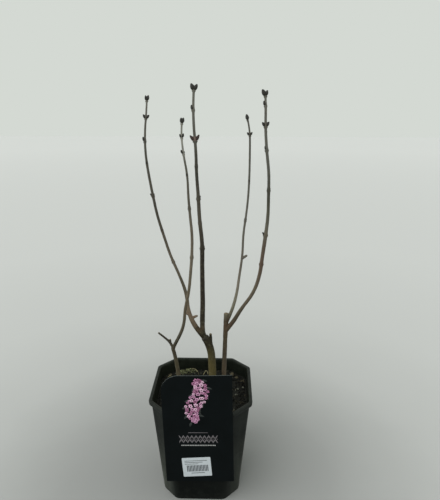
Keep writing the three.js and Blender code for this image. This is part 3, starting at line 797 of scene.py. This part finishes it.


# Bands of bark colour, each at a height in millimetres. Where a bough leaves its stem, both have the same
# ones, and the young wood near a tip is paler. The near-black bands of the centre stem, about 266 to 292 mm,
# are painted shade in the crotch where the tall and far-left boughs fork.
BARK_COLOURS = {
    "centre_stem": [(173, (104, 96, 56)), (232, (97, 88, 50)), (266, (43, 37, 15)), (280, (24, 19, 6)),
                    (292, (50, 42, 24)), (304, (80, 67, 48)), (316, (42, 34, 20)), (334, (42, 34, 20))],
    "left_stem": [(173, (102, 91, 70)), (240, (96, 88, 68)), (290, (64, 61, 50)), (330, (66, 62, 48))],
    "right_stem": [(173, (100, 80, 66)), (245, (82, 74, 58)), (280, (72, 62, 44)), (304, (80, 63, 46)),
                   (318, (70, 56, 42)), (334, (106, 103, 88)), (348, (122, 118, 104))],
    "tall": [(292, (50, 42, 24)), (304, (80, 67, 48)), (316, (42, 34, 20)), (450, (38, 32, 22)),
             (525, (79, 73, 63)), (595, (54, 54, 47)), (640, (80, 79, 72)), (740, (114, 113, 106))],
    "far_left": [(292, (50, 42, 24)), (304, (80, 67, 48)), (325, (132, 116, 98)), (360, (92, 84, 69)),
                 (430, (100, 91, 79)), (520, (66, 62, 54)), (670, (90, 88, 81)), (720, (120, 118, 112))],
    "left": [(275, (68, 65, 53)), (290, (64, 61, 50)), (360, (102, 92, 75)), (455, (114, 105, 92)),
             (560, (88, 84, 75)), (625, (98, 97, 90)), (648, (168, 167, 160)), (695, (134, 132, 125))],
    "outer_right": [(304, (80, 63, 46)), (325, (78, 68, 53)), (385, (97, 89, 75)), (435, (92, 74, 61)),
                    (505, (101, 98, 87)), (562, (66, 66, 56)), (600, (86, 86, 80)), (725, (108, 107, 100))],
    "inner_right": [(320, (80, 66, 49)), (334, (106, 103, 88)), (348, (122, 118, 104)), (410, (120, 112, 103)),
                    (460, (96, 92, 85)), (590, (92, 92, 86)), (640, (78, 78, 72)), (700, (96, 94, 88))],
}
FOOT_DEPTH = 4  # how far the bark of a stem goes on below the top of the soil
SKINS = dict(  # step from ring to ring, sides and, on fine skins, bark relief
    trunk=(2, 24), fork=(2, 20), stub=(2, 16),
    shaft=(1.2, 28, 0.12), tip=(0.9, 26, 0.08), sleeve=(0.7, 26, 0.05),
)
SLEEVE = -1.5, 7.5  # from where to where fresh bark sheathes the shoot at a red node
SCAR_DROP = 2.6  # from a node down to its leaf scars
PORE_SPACING, TIP_PORE_SPACING = 3, 5
OVERLAP = 5  # how far the skins of a stem and of its bough go on into each other
THINNING = 0.16  # by what share each is drawn in at its hidden end


def add_stems(stems, boughs, paints):
    """Each stem in one skin with the feet of its boughs, its crotches and its stubs."""
    cuts = Gather()
    for name, stem in stems.items():
        trunk = limb_rings(stem, 0, stem["length"], *SKINS["trunk"])
        shapes = [loft([trunk[0] - (0, 0, FOOT_DEPTH), *trunk])]
        for bough in boughs.values():
            if bough["parent"] == name:
                fork = limb_rings(bough, 0, bough["fork_length"] + OVERLAP, *SKINS["fork"])
                ends = smoothstep(np.linspace(0, 1, len(fork)), 1 - 6 / bough["fork_length"], 1)
                shapes.append(loft(scaled(fork, 1 - THINNING * ends)))
                shapes.append(ball(bough["start"], radii(stem, bough["at"])[0] * 1.04))
        for stub in (grow(dict(STUBS[key])) for key in STUBS_ON[name]):
            shapes.append(loft(limb_rings(stub, 0, stub["length"], *SKINS["stub"])))
            add_cut(cuts, stub)
        fused_stem(f"{name}_stem", shapes, paints[f"{name}_stem"])
    add_cut(cuts, stems["right"])
    cuts.piece("cut_ends", "old_bark", [wood_end_paint()])


def add_boughs(boughs, paints):
    """Each bough's limb, shoot tip and buds, and the leaf scars and pores of them all."""
    scar = grain_paint("leaf_scar", (70, 62, 50), (106, 94, 76), 1200, 0.85, 0.1)
    pore = grain_paint("lenticel", (96, 88, 72), (126, 114, 94), 1500, 0.9, 0.05)
    scales = scale_paint("bud_scale", (18, 18, 14), (44, 42, 33))
    margins = scale_paint("bud_margin", (14, 11, 10), (30, 24, 19))
    red_scales = scale_paint("bud_scale_red", (36, 20, 18), (68, 42, 36))
    fresh = scale_paint("fresh_bark", (86, 72, 65), (112, 96, 88))
    scars, pores = Gather(), Gather()
    for name, bough in boughs.items():
        crown_from = bough["length"] - bough["crown"]
        shaft = limb_rings(bough, bough["fork_length"] - OVERLAP, crown_from, *SKINS["shaft"])
        fade = 1 - THINNING + THINNING * smoothstep(np.arange(len(shaft)) * SKINS["shaft"][0], 0, 6)
        limb = Gather(loft(scaled(shaft, fade)), *(stump(bough, shape) for shape in bough.get("knobs", ())))
        tip = Gather(loft(limb_rings(bough, crown_from, bough["length"], *SKINS["tip"])))
        buds = Gather()
        for node in bough["nodes"]:
            s = bough["length"] - node["down"]
            red = node["slim"] < 1
            if red:
                sleeve = limb_rings(bough, s + SLEEVE[0], s + SLEEVE[1], *SKINS["sleeve"])
                swell = 0.985 + 0.06 * np.sin(np.linspace(0, pi, len(sleeve)))
                tip.add(*loft(scaled(sleeve, swell)), kind=1)
            for compass, size in buds_of(node):
                add_bud(buds, bough, s - 1, compass, node["spread"], BUD_LENGTH * size,
                        BUD_WIDTH * size * node["slim"], (2, 1) if red else (0, 1))
                if len(node["sizes"]) == 2:
                    add_scar(scars, bough, s - SCAR_DROP, compass, size)
        limb.piece(f"{name}_limb", "young_bark", [paints[name]], (f"{name}_bough",))
        tip.piece(f"{name}_shoot", "shoot_tip", [paints[name], fresh], (f"{name}_tip",))
        buds.piece(f"{name}_buds", "shoot_tip", [scales, margins, red_scales])
        add_lenticels(pores, bough, bough["fork_length"], crown_from, PORE_SPACING)
        add_lenticels(pores, bough, crown_from, bough["length"] - 4, TIP_PORE_SPACING)
    scars.piece("leaf_scars", "young_bark", [scar])
    pores.piece("lenticels", "young_bark", [pore])


def add_plant():
    paints = {name: bark_paint(f"bark_{name}", stops, 0.7 if name.endswith("_stem") else 0.5)
              for name, stops in BARK_COLOURS.items()}
    stems = {name: grow(dict(stem, start=(*stem["foot"], SOIL["top"] + GAP)))
             for name, stem in STEMS.items()}
    boughs = {name: grow(dict(bough, start=frames(stems[bough["parent"]], bough["at"])[0][0]))
              for name, bough in BOUGHS.items()}
    add_stems(stems, boughs, paints)
    add_boughs(boughs, paints)


# ---- pot

CUT_PER_INSET = 2 - sqrt(2)
ARC_POINTS = 6
SIDE_PIECES = 14


def pot_section(z, inset=0.0):
    """Half width, corner cut and rounding of the pot's wall at a height, moved inwards by inset."""
    base = POT["base_width"] / 2, POT["base_cut"], POT["base_round"]
    top = POT["rim_width"] / 2 - POT["lip_proud"], POT["rim_cut"], POT["rim_round"]
    share = z / POT["height"]
    half, cut, bend = (low + (high - low) * share for low, high in zip(base, top))
    return half - inset, cut - inset * CUT_PER_INSET, bend


def pot_outline(half, cut, bend):
    """The square with its corners cut off and every corner rounded, as points from +X round."""
    inner = half - cut
    corners = np.array([(half, inner), (inner, half), (-inner, half), (-half, inner),
                        (-half, -inner), (-inner, -half), (inner, -half), (half, -inner)])

    def towards(a, b):
        return a + unit(b - a) * bend
    points = []
    for before, corner, after in zip(np.roll(corners, 1, 0), corners, np.roll(corners, -1, 0)):
        entry, leave, arrive = towards(corner, before), towards(corner, after), towards(after, corner)
        for t in np.linspace(0, 1, ARC_POINTS):
            points.append((1 - t) ** 2 * entry + 2 * t * (1 - t) * corner + t * t * leave)
        for k in range(1, SIDE_PIECES):
            points.append(leave + (arrive - leave) * k / SIDE_PIECES)
    return np.array(points)


def pot_ring(z, inset, scale=1.0):
    flat = pot_outline(*pot_section(z, inset)) * scale
    return np.column_stack([flat, np.full(len(flat), z)])


def fillet(z, inset, radius, turn_from, turn_to, count=4):
    """Heights and insets along an arc of the section about (z, inset), in degrees, 0 being outwards."""
    return [(z + radius * sin(turn), inset - radius * cos(turn))
            for turn in np.radians(np.linspace(turn_from, turn_to, count))]


def pot_profile():
    """Heights and insets of the pot's skin, from under its base, up outside and down inside."""
    height, wall, proud, floor = (POT[key] for key in ("height", "wall", "lip_proud", "floor"))
    lip_foot = height - POT["lip_height"]
    return [
        (0, 12), (0, 4), *fillet(1.2, 1.2, 1.2, -90, 0),
        *((z, 0) for z in np.linspace(16, lip_foot - 8, 14)), (lip_foot - 1.5, 0),
        *fillet(lip_foot + 1.2, -1.2, 1.2, 180, 90, 3), (lip_foot + 2.4, -proud + 1.8),
        *fillet(lip_foot + 0.9, -proud + 0.9, 0.9, 180, 360, 6), (lip_foot + 4, -proud),
        *fillet(height - 1.4, -proud + 1.4, 1.4, 0, 90),
        *fillet(height - 1.2, wall - 1.2 + 0.1, 1.2, 90, 180),
        *((z, wall) for z in np.linspace(height - 4, floor + 3, 12)),
        (floor, wall + 2), (floor, wall + 14),
    ]


DRAIN_ENDS = -3, 6  # heights of the ends of the cutters that drill the floor


def add_pot():
    rings = []
    for z, inset in pot_profile():
        skin = pot_ring(z, inset)
        sway = noise_at(skin, (0.021, 0.021, 0.013)) * 0.35
        calm = smoothstep(skin[:, 2], 0, 30) * smoothstep(-skin[:, 2], -POT["height"] - 2, -150)
        skin[:, :2] *= (1 + sway * calm / 80)[:, None]
        rings.append(skin)
    piece = Gather(loft(rings)).piece("pot_shell", "pot_plastic", [pot_paint()], ("pot",))
    offsets = -POT["drain_offset"], POT["drain_offset"]
    drains = Gather(*(loft([ring((x, y, z), *LEVEL, 20, POT["drain_radius"]) for z in DRAIN_ENDS])
                      for x in offsets for y in offsets))
    cutter = add_mesh("drain_cutter", np.vstack(drains.points), drains.faces)
    cut = piece.modifiers.new("drains", "BOOLEAN")
    cut.operation, cut.solver, cut.object = "DIFFERENCE", "EXACT", cutter
    bake(piece)
    bpy.data.objects.remove(cutter)


# ---- soil

BED_INSET = POT["wall"] + GAP
MOUND_REACH = 11  # of the mound round a stem, which scattered crumbs keep clear of
FEET = [np.array(stem["foot"], float) for stem in STEMS.values()]
MOSS_PATCHES = [(-48, 66, 11), (-36, 70, 12), (-24, 72, 9), (-33, 78, 8)]  # x, y and radius
LUMPS = [  # x, y, half width and kind
    (-70, 64, 4.2, 2), (-78, 44, 3, 1), (57, 64, 4.8, 2), (47, 71, 3.8, 1), (66, 52, 3.8, 2), (39, 60, 3.2, 1),
    (78, 22, 2.8, 3), (68, 11, 2.3, 3), (64, -11, 2.1, 3), (72, -30, 2.6, 1), (76, 36, 3, 0), (28, 71, 3.4, 1),
    (-6, 44, 3.2, 1), (-60, -22, 3.6, 1), (12, 30, 2.6, 2), (-22, -40, 3.2, 0), (30, -50, 3.8, 1),
    (-16, 20, 2.4, 3), (-70, 8, 3, 0), (8, -66, 2.6, 2),
]
CRUMBS = 2900
FOOT_CRUMBS = 9  # round a stem, for each millimetre of its foot's radius
CHIPS = 190
CRUMB_KINDS = (0, 1, 2, 3), (66, 28, 4, 2)  # the numbers of materials, and how often each is drawn
CHIP_KINDS = (0, 1, 2), (40, 50, 10)
TUFTS = 4  # of moss on a patch, times its radius squared


def soil_height(x, y):
    """Height of the soil: shallow hollows, clods, a low mound at each stem and a slumped edge."""
    points = np.stack([x, y, np.zeros_like(x)], axis=1)
    wave = np.sin(x * 0.11 + 1.3) * np.sin(y * 0.13 + 0.4) + 0.5 * np.sin(x * 0.23 - y * 0.19)
    nearest = np.min([np.hypot(x - f[0], y - f[1]) for f in FEET], axis=0)
    calm = smoothstep(nearest, SOIL["calm_radius"] * 0.6, SOIL["calm_radius"] * 1.6)
    clods = (0.9 * noise_at(points, 0.1) + 0.8 * np.abs(noise_at(points, 0.22))
             + 0.6 * np.abs(noise_at(points, 0.5)) + 0.25 * noise_at(points, 1.1))
    mound = 1.6 * bell(nearest / MOUND_REACH)
    edge = np.max([np.abs(x), np.abs(y), (np.abs(x) + np.abs(y)) / 1.62], axis=0)
    slump = SOIL["slump"] * smoothstep(edge, 66, 84)
    moss = sum(2.4 * bell(np.hypot(x - mx, y - my) / r) for mx, my, r in MOSS_PATCHES)
    return SOIL["top"] - SOIL["relief"] * calm * (0.5 + wave / 3) + clods * 1.5 + mound + moss - slump


def on_soil(x, y, lift=0):
    return np.array([x, y, float(soil_height(np.array([x]), np.array([y]))[0]) + lift])


def in_pot(x, y, inset):
    half, cut, _ = pot_section(SOIL["top"], inset)
    return max(abs(x), abs(y)) <= half and abs(x) + abs(y) <= 2 * half - cut


def random_soil_place(margin=4):
    """A place on the soil, clear of the wall and of the stems."""
    inset = POT["wall"] + margin
    half = pot_section(SOIL["top"], inset)[0]
    while True:
        x, y = rng.uniform(-half, half), rng.uniform(-half, half)
        if in_pot(x, y, inset) and min(hypot(x - f[0], y - f[1]) for f in FEET) > MOUND_REACH:
            return x, y


def near(x, y, away):
    turn = any_turn()
    return x + away * cos(turn), y + away * sin(turn)


def lying(tilt):
    """Random angles of a thing that lies no further than a tilt off level."""
    return rng.uniform(-tilt, tilt), rng.uniform(-tilt, tilt), rng.uniform(0, 6.3)


def add_bed():
    rings = [pot_ring(POT["floor"] + GAP, BED_INSET, 0.4)]
    rings += [pot_ring(z, BED_INSET) for z in np.linspace(POT["floor"] + GAP, SOIL["top"] - 6, 8)]
    for scale in np.concatenate([np.linspace(1, 0.1, 62), [0.04]]):
        top = pot_ring(SOIL["top"] - SOIL["slump"], BED_INSET, scale)
        top[:, 2] = soil_height(top[:, 0], top[:, 1])
        rings.append(top)
    earth = grain_paint("peat", (9, 10, 8), (26, 27, 20), 420, 0.95, 0.6)
    Gather(loft(rings)).piece("soil_bed", "potting_soil", [earth], ("soil",))


def add_crumb(gather, x, y, size, rise):
    kind = rng.choices(*CRUMB_KINDS)[0]
    sizes = (size, size * rng.uniform(0.6, 1), size * rng.uniform(0.45, 0.85))
    gather.add(*pebble(on_soil(x, y, size * rise), sizes, 0.3), kind=kind)


def add_crumbs():
    """Crumbs all over and thicker round the stems' feet, flat chips, and a few large clods."""
    crumbs = Gather()
    for _ in range(CRUMBS):
        add_crumb(crumbs, *random_soil_place(), 0.5 + 2.0 * rng.random() ** 2.2, 0.15)
    for stem in STEMS.values():
        radius = stem["widths"][0] / 2 + stem["flare"]
        for _ in range(int(radius * FOOT_CRUMBS)):
            place = near(*stem["foot"], radius + rng.uniform(-1.5, 2.5))
            add_crumb(crumbs, *place, rng.uniform(0.8, 2.1), 0.3)
    for _ in range(CHIPS):
        place = random_soil_place(6)
        length = rng.uniform(2, 5.5)
        sizes = (length, length * rng.uniform(0.2, 0.45), rng.uniform(0.4, 0.8))
        kind = rng.choices(*CHIP_KINDS)[0]
        chip, faces = pebble((0, 0, 0), (1, 1, 1), 0.25)
        crumbs.add(on_soil(*place, 0.8) + tumbled(chip * sizes, lying(0.5)), faces, kind=kind)
    for x, y, half, kind in LUMPS:
        skin, faces = ball((0, 0, 0), 1)
        rough = 0.35 * noise_at(skin + (x, y, 0), 1.1) + 0.12 * noise_at(skin + (x, y, 0), 3.5)
        clod = skin * (1 + rough)[:, None] * (half, half * 0.8, half * 0.6)
        crumbs.add(on_soil(x, y, half * 0.3) + tumbled(clod, lying(0.4)), faces, kind=kind)
    crumbs.piece("soil_crumbs", "potting_soil", [
        grain_paint("black_peat", (7, 8, 7), (18, 19, 15), 800),
        grain_paint("bark_crumb", (22, 22, 16), (40, 38, 28), 800),
        grain_paint("wood_crumb", (54, 50, 38), (84, 77, 60), 900),
        grain_paint("grit", (66, 68, 60), (100, 100, 90), 900, 0.9, 0.15)], smooth=False)


def add_moss():
    """Tufts of moss, each one a thin spike on three feet."""
    moss = Gather()
    for mx, my, radius in MOSS_PATCHES:
        for _ in range(int(radius * radius * TUFTS)):
            away = radius * sqrt(rng.random())
            x, y = near(mx, my, away)
            if not in_pot(x, y, BED_INSET + 2):
                continue
            tuft = noise.noise(Vector((x * 0.16, y * 0.16, 3.0)))
            tall = rng.uniform(1.4, 3.2) * (1.2 - away / radius * 0.6) * (1 + 0.9 * tuft)
            foot = on_soil(x, y, -0.4)
            tip = foot + (rng.uniform(-1.2, 1.2), rng.uniform(-1.2, 1.2), max(tall, 0.6))
            rim = [foot + 0.36 * np.array([cos(a), sin(a), 0]) for a in (0.3, 2.4, 4.5)]
            pale = rng.random() < 0.42 + 0.7 * tuft
            moss.add([*rim, tip], [(0, 2, 1), (0, 1, 3), (1, 2, 3), (2, 0, 3)], kind=int(pale))
    moss.piece("moss", "potting_soil", [
        grain_paint("moss", (52, 56, 28), (96, 98, 52), 900, 0.95, 0.2),
        grain_paint("moss_tips", (134, 138, 100), (184, 188, 150), 900, 0.95, 0.2)])


def dry_strip(width, thick, *route):
    """A withered strip along route points, whose heights are above the soil."""
    points = np.array([on_soil(*place) for place in route])
    t = np.linspace(0, len(points) - 1, 18)
    line = np.stack([np.interp(t, range(len(points)), points[:, k]) for k in range(3)], axis=1)
    line[1:-1] = (line[:-2] + 2 * line[1:-1] + line[2:]) / 4
    rings = []
    for i, centre in enumerate(line):
        along = unit(line[min(i + 1, len(line) - 1)] - line[max(i - 1, 0)])
        across = unit(np.cross(along, (0, 0, 1)))
        narrow = 0.35 + 0.65 * sin(pi * (i + 1) / (len(line) + 1))
        rings.append(ring(centre, across, np.cross(across, along), 8, width / 2 * narrow, thick / 2))
    return loft(rings)


def add_soil():
    add_bed()
    add_crumbs()
    add_moss()
    Gather(
        dry_strip(2.6, 0.7, (-31, 80, 1), (-26, 80, 4), (-20, 78, 4.8), (-15, 70, 3.6), (-11, 58, 0.5)),
        dry_strip(2, 0.7, (-2, 57, 0.5), (0, 64, 3.2), (3.3, 70, 4.2), (7, 66, 3.6), (8, 59, 1)),
        dry_strip(2.2, 0.8, (-74, 50, 0.5), (-69, 54, 1.8), (-63, 51, 0.5)),
        dry_strip(1.5, 0.5, (14, -52, 0.5), (22, -46, 2.2), (33, -44, 1.2)),
    ).piece("dry_litter", "potting_soil",
            [grain_paint("dry_litter", (88, 84, 60), (124, 118, 90), 700, 0.8, 0.15)])


# ---- card

CARD_CURL = 1.4  # how far the card's top corners bend back


def card_frame():
    """The top middle of the card's back face, its right, its up and its outward direction."""
    lean, turn = radians(CARD["lean"]), radians(CARD["turn"])
    top = POT["height"] + CARD["above_rim"]
    lip_foot = POT["height"] - POT["lip_height"]
    back = -POT["rim_width"] / 2 - GAP - tan(lean) * (top - lip_foot)
    upright = np.array([0, -sin(lean), cos(lean)])
    right = cos(turn) * np.array([1.0, 0, 0]) + sin(turn) * upright
    up = -sin(turn) * np.array([1.0, 0, 0]) + cos(turn) * upright
    out = np.array([0, -cos(lean), -sin(lean)])
    return np.array([CARD["middle_x"], back, top]), right, up, out


def on_card(u, v, lift=0.0):
    """Points of the card: u to the right of its middle, v up from its top, lift off its front."""
    origin, right, up, out = card_frame()
    u, v, lift = np.broadcast_arrays(*(np.asarray(a, float) for a in (u, v, lift)))
    curl = CARD_CURL * (u / (CARD["width"] / 2)) ** 2 * smoothstep(v, -CARD["above_rim"], 0)
    off = CARD["thickness"] + lift - curl
    return origin + u[..., None] * right + v[..., None] * up + off[..., None] * out


def card_sides(v):
    """Left and right edge of the card at v."""
    half, big, small = CARD["width"] / 2, CARD["big_radius"], CARD["small_radius"]
    foot = v + CARD["height"]
    low = small - np.sqrt(np.clip(small ** 2 - np.clip(small - foot, 0, small) ** 2, 0, None))
    top = big - np.sqrt(np.clip(big ** 2 - np.clip(big + v, 0, big) ** 2, 0, None))
    return -half + np.maximum(low, top), half - low


def add_card():
    face = card_paint()
    edge = grain_paint("card_edge", (72, 78, 78), (96, 102, 102), 900, 0.6, 0.02)
    big, small = CARD["big_radius"], CARD["small_radius"]
    v = np.concatenate([
        -big * (1 - np.cos(np.linspace(0, pi / 2, 22))),
        np.linspace(-big, small - CARD["height"], 26)[1:],
        small * (1 - np.sin(np.linspace(0, pi / 2, 5)[1:])) - CARD["height"],
    ])
    left, right = card_sides(v)
    u = left + (right - left) * np.linspace(0, 1, 17)[:, None]
    card = Gather(sheet(on_card(u, v), on_card(u, v, -CARD["thickness"])), tongue())
    card.piece("card_sheet", "printed_card", [face, edge], ("label_card",), smooth=False)


def tongue():
    """The card's tongue: back over the lip, then down inside the wall."""
    origin, thick = card_frame()[0], CARD["thickness"]
    over, low = POT["height"] + GAP, POT["height"] - CARD["tongue_drop"]
    back = origin[1] - tan(radians(CARD["lean"])) * (over - origin[2]) - thick / 2

    def inside(z):
        return -pot_section(z, POT["wall"] + GAP)[0]
    side = [(back, over), (inside(over), over), (inside(low), low),
            (inside(low) + thick, low), (inside(over) + thick, over + thick), (back, over + thick)]
    half = CARD["tongue_width"] / 2
    return loft([np.array([(x, y, z) for y, z in side]) for x in (half, -half)])


PRINT_FOOT = -0.05  # how far a print mark reaches into the card


def flake(centre, outline, lift, dome):
    """A print mark: an outline on the card about centre (u, v), domed a little."""
    outline = np.asarray(outline) + np.asarray(centre)
    middle, count = outline.mean(axis=0), len(outline)
    points = np.vstack([on_card(*outline.T, lift), on_card(*outline.T, PRINT_FOOT),
                        on_card(*middle, lift + dome), on_card(*middle, PRINT_FOOT)])
    faces = []
    for k in range(count):
        n = (k + 1) % count
        faces += [(k, n, 2 * count), (count + n, count + k, 2 * count + 1), (n, k, count + k, count + n)]
    return points, faces


def turned(points, turn):
    return np.asarray(points) @ [[cos(turn), sin(turn)], [-sin(turn), cos(turn)]]


def lens(length, width, turn, count=10):
    """Outline of a pointed oval whose foot is at the origin, turned by an angle."""
    t = np.linspace(0, 1, count // 2 + 1)
    half = width / 2 * np.sin(pi * t ** 0.8)
    near_side, far_side = (np.stack([t * length, side * half], axis=1) for side in (-1, 1))
    return turned(np.concatenate([near_side, far_side[-2:0:-1]]), turn)


def box_outline(width, height, turn=0.0):
    return turned(np.array([(-1, -1), (1, -1), (1, 1), (-1, 1)]) * (width / 2, height / 2), turn)


BLOSSOM = 4.2  # length of a petal
BLOSSOMS = 74
GARLAND = dict(top=-9, fall=84, sway=9, middle=-1)  # the blossoms' winding course down the card
PRINT_BAND = -131  # v of the ornament's middle
STICKER = dict(u=-5, v=-192.5, width=51, height=42, turn=3.2, thick=0.12)
PRINT_MIDDLE = -0.5  # and u
BLOSSOM_REACH = 12.5  # how far blossoms lie across the course
LEAF_REACH = 9
LEAVES = 14
TONES = (0, 1, 2, 3), (2, 4, 4, 3)  # the numbers of the pinks, and how often each is drawn
HEART = 4  # the number of the blossoms' last material, after the four pinks


def on_garland(t, across):
    """A place at share t of the garland's course, so far across it, and the course's heading."""
    wave = 2 * pi * t
    slope = atan2(-GARLAND["fall"], GARLAND["sway"] * 2 * pi * cos(wave))
    course = np.array([GARLAND["middle"] + GARLAND["sway"] * sin(wave), GARLAND["top"] - GARLAND["fall"] * t])
    return course + across * np.array([-sin(slope), cos(slope)]), slope


def add_blossom(petals, centre, size, spin, lift, tone):
    """Five streaked petals round a dark heart."""
    for k in range(5):
        turn = spin + k * pi * 0.4
        petals.add(*flake(centre, lens(size, size * 0.82, turn), lift + 0.006 * k, 0.1), kind=tone)
        petals.add(*flake(centre, lens(size * 0.45, size * 0.16, turn), lift + 0.12, 0.03), kind=HEART)
    petals.add(*flake(centre, ring((0, 0), *FLAT, 6, 0.55), lift + 0.14, 0.08), kind=HEART)


def add_garland():
    """A winding course of blossoms with leaves at its sides."""
    pinks = [ink_paint(f"pink_{i}", colour, shade) for i, (colour, shade) in enumerate([
        ((164, 104, 140), (146, 88, 122)), ((188, 126, 164), (172, 110, 148)),
        ((212, 156, 192), (198, 140, 178)), ((238, 196, 222), (226, 180, 208)),
    ])]
    petals, leaves = Gather(), Gather()
    for i in range(BLOSSOMS):
        t = (i + 0.5) / BLOSSOMS
        across = BLOSSOM_REACH * sin(pi * (0.12 + 0.8 * t)) ** 0.8 * sin(i * 2.4)
        size = BLOSSOM * (1.05 - 0.3 * abs(across) / 12) * rng.uniform(0.86, 1.08)
        tone = rng.choices(*TONES)[0]
        lift = 0.1 + 0.014 * (i * 7 % 11)
        add_blossom(petals, on_garland(t, across)[0], size, rng.uniform(0, 1.3), lift, tone)
    for i in range(LEAVES):
        side = -1 if i % 2 else 1
        centre, slope = on_garland(0.05 + 0.07 * i, side * LEAF_REACH)
        leaf = lens(rng.uniform(9, 12), 4.4, slope + side * rng.uniform(0.7, 1.0), 14)
        leaves.add(*flake(centre, leaf, 0.05, 0.04))
    heart = ink_paint("blossom_heart", (92, 44, 72), (66, 28, 52))
    sage = ink_paint("print_leaf", (50, 56, 54), (36, 41, 40))
    petals.piece("print_blossom", "printed_card", [*pinks, heart])
    leaves.piece("print_leaves", "printed_card", [sage])


def add_band():
    """A plaited band with beads between a rule above and small bright squares below."""
    band = Gather()

    def mark(u, v, outline, dome, kind=0):
        band.add(*flake((PRINT_MIDDLE + u, PRINT_BAND + v), outline, 0.05, dome), kind=kind)
    for k in range(-4, 5):
        for turn in (1.1, pi - 1.1, -1.1, pi + 1.1):
            mark(k * 7.4, 0, lens(9.6, 2.2, turn), 0.03)
        for rise in (-7.2, 0, 7.2):
            mark(k * 7.4 + 3.7, 0, ring((0, rise), *FLAT, 8, 0.9), 0.05)
    mark(0, 14, box_outline(34, 1.0), 0.01)
    for k in range(-10, 11):
        mark(k * 2.9, -13.5, box_outline(2.2, 2.2), 0.01, kind=1)
    band.piece("print_band", "printed_card", [
        ink_paint("print_rule", (122, 116, 120), (102, 98, 102)),
        ink_paint("print_rule_bright", (190, 190, 190), (164, 164, 164))])


STICKER_CORNER = 1.5
STICKER_MARKS = [  # middle and size of its rules and bars
    ((-1, 14), (40, 1.0)), ((-5, 10.5), (32, 1.0)), ((-9, 7), (24, 0.9)), ((1, -13.5), (24, 1.2)),
    *(((1 + (k - 7) * 2.6, -3), (1.5, 14)) for k in range(15)),
]


def add_sticker():
    stock = ink_paint("sticker_white", (213, 220, 226), (205, 212, 219), 500)
    ink = ink_paint("sticker_ink", (54, 58, 64), (42, 46, 52))
    turn, thick = radians(STICKER["turn"]), STICKER["thick"]
    centre = np.array([STICKER["u"], STICKER["v"]])
    inner = np.array([STICKER["width"], STICKER["height"]]) / 2 - STICKER_CORNER
    rim = [inner * signs + STICKER_CORNER * np.array([cos(a), sin(a)])
           for signs, start in (((1, 1), 0), ((-1, 1), 90), ((-1, -1), 180), ((1, -1), 270))
           for a in np.radians(np.linspace(start, start + 90, 5))]
    label = Gather(flake(centre, turned(rim, turn), thick, 0.0))
    label.piece("sticker", "printed_card", [stock], smooth=False)
    marks = Gather(*(flake(centre + turned(place, turn), box_outline(*size, turn), thick + 0.03, 0.0)
                     for place, size in STICKER_MARKS))
    marks.piece("sticker_marks", "printed_card", [ink], smooth=False)


# ---- studio

FLOOR_HALF = 12000
FLOOR_TONES = [(0.0, (146, 147, 146)), (0.03, (152, 153, 152)), (0.06, (178, 179, 178)),
               (0.1, (188, 189, 188)), (0.2, (195, 196, 195)), (1.0, (205, 206, 205))]
FLOOR_FADE = 8.0  # metres from the pot to where the floor is palest


def add_sun(name, heading, height, strength, spread):
    """A soft lamp. heading is where it stands, in degrees from the front towards the right."""
    data = bpy.data.lights.new(name, "SUN")
    data.energy, data.angle = strength, radians(spread)
    lamp = add_object(name, data)
    turn, rise = radians(heading), radians(height)
    stand = Vector((sin(turn) * cos(rise), -cos(turn) * cos(rise), sin(rise)))
    lamp.location = stand * 3
    lamp.rotation_mode = "QUATERNION"
    lamp.rotation_quaternion = (-stand).to_track_quat("-Z", "Y")


def add_studio():
    paint = Paint("studio_floor", 0.95, 0.1)
    away = paint.node("VectorMath", "Value", {0: paint.place}, operation="LENGTH")
    cloud = paint.range(paint.noise(5), 0.3, 0.7, -0.002, 0.002)
    paint.ramp(paint.math("ADD", paint.range(away, 0, FLOOR_FADE), cloud), FLOOR_TONES)
    corners = [(x * FLOOR_HALF, y * FLOOR_HALF, 0) for x, y in ((-1, -1), (1, -1), (1, 1), (-1, 1))]
    floor = add_mesh("studio_floor", corners, [(0, 1, 2, 3)], [paint.done()])
    world = bpy.data.worlds.new("studio")
    world.use_nodes = True
    sky = world.node_tree.nodes["Background"]
    sky.inputs["Color"].default_value = srgb(212, 217, 211)
    bpy.context.scene.world = world
    add_sun("key", -40, 55, 1.3, 50)
    add_sun("left", -95, 22, 0.5, 60)
    add_sun("right", 95, 22, 0.3, 60)
    bpy.context.scene.view_settings.view_transform = "Standard"


add_camera()
add_studio()
add_pot()
add_soil()
add_plant()
add_card()
add_garland()
add_band()
add_sticker()
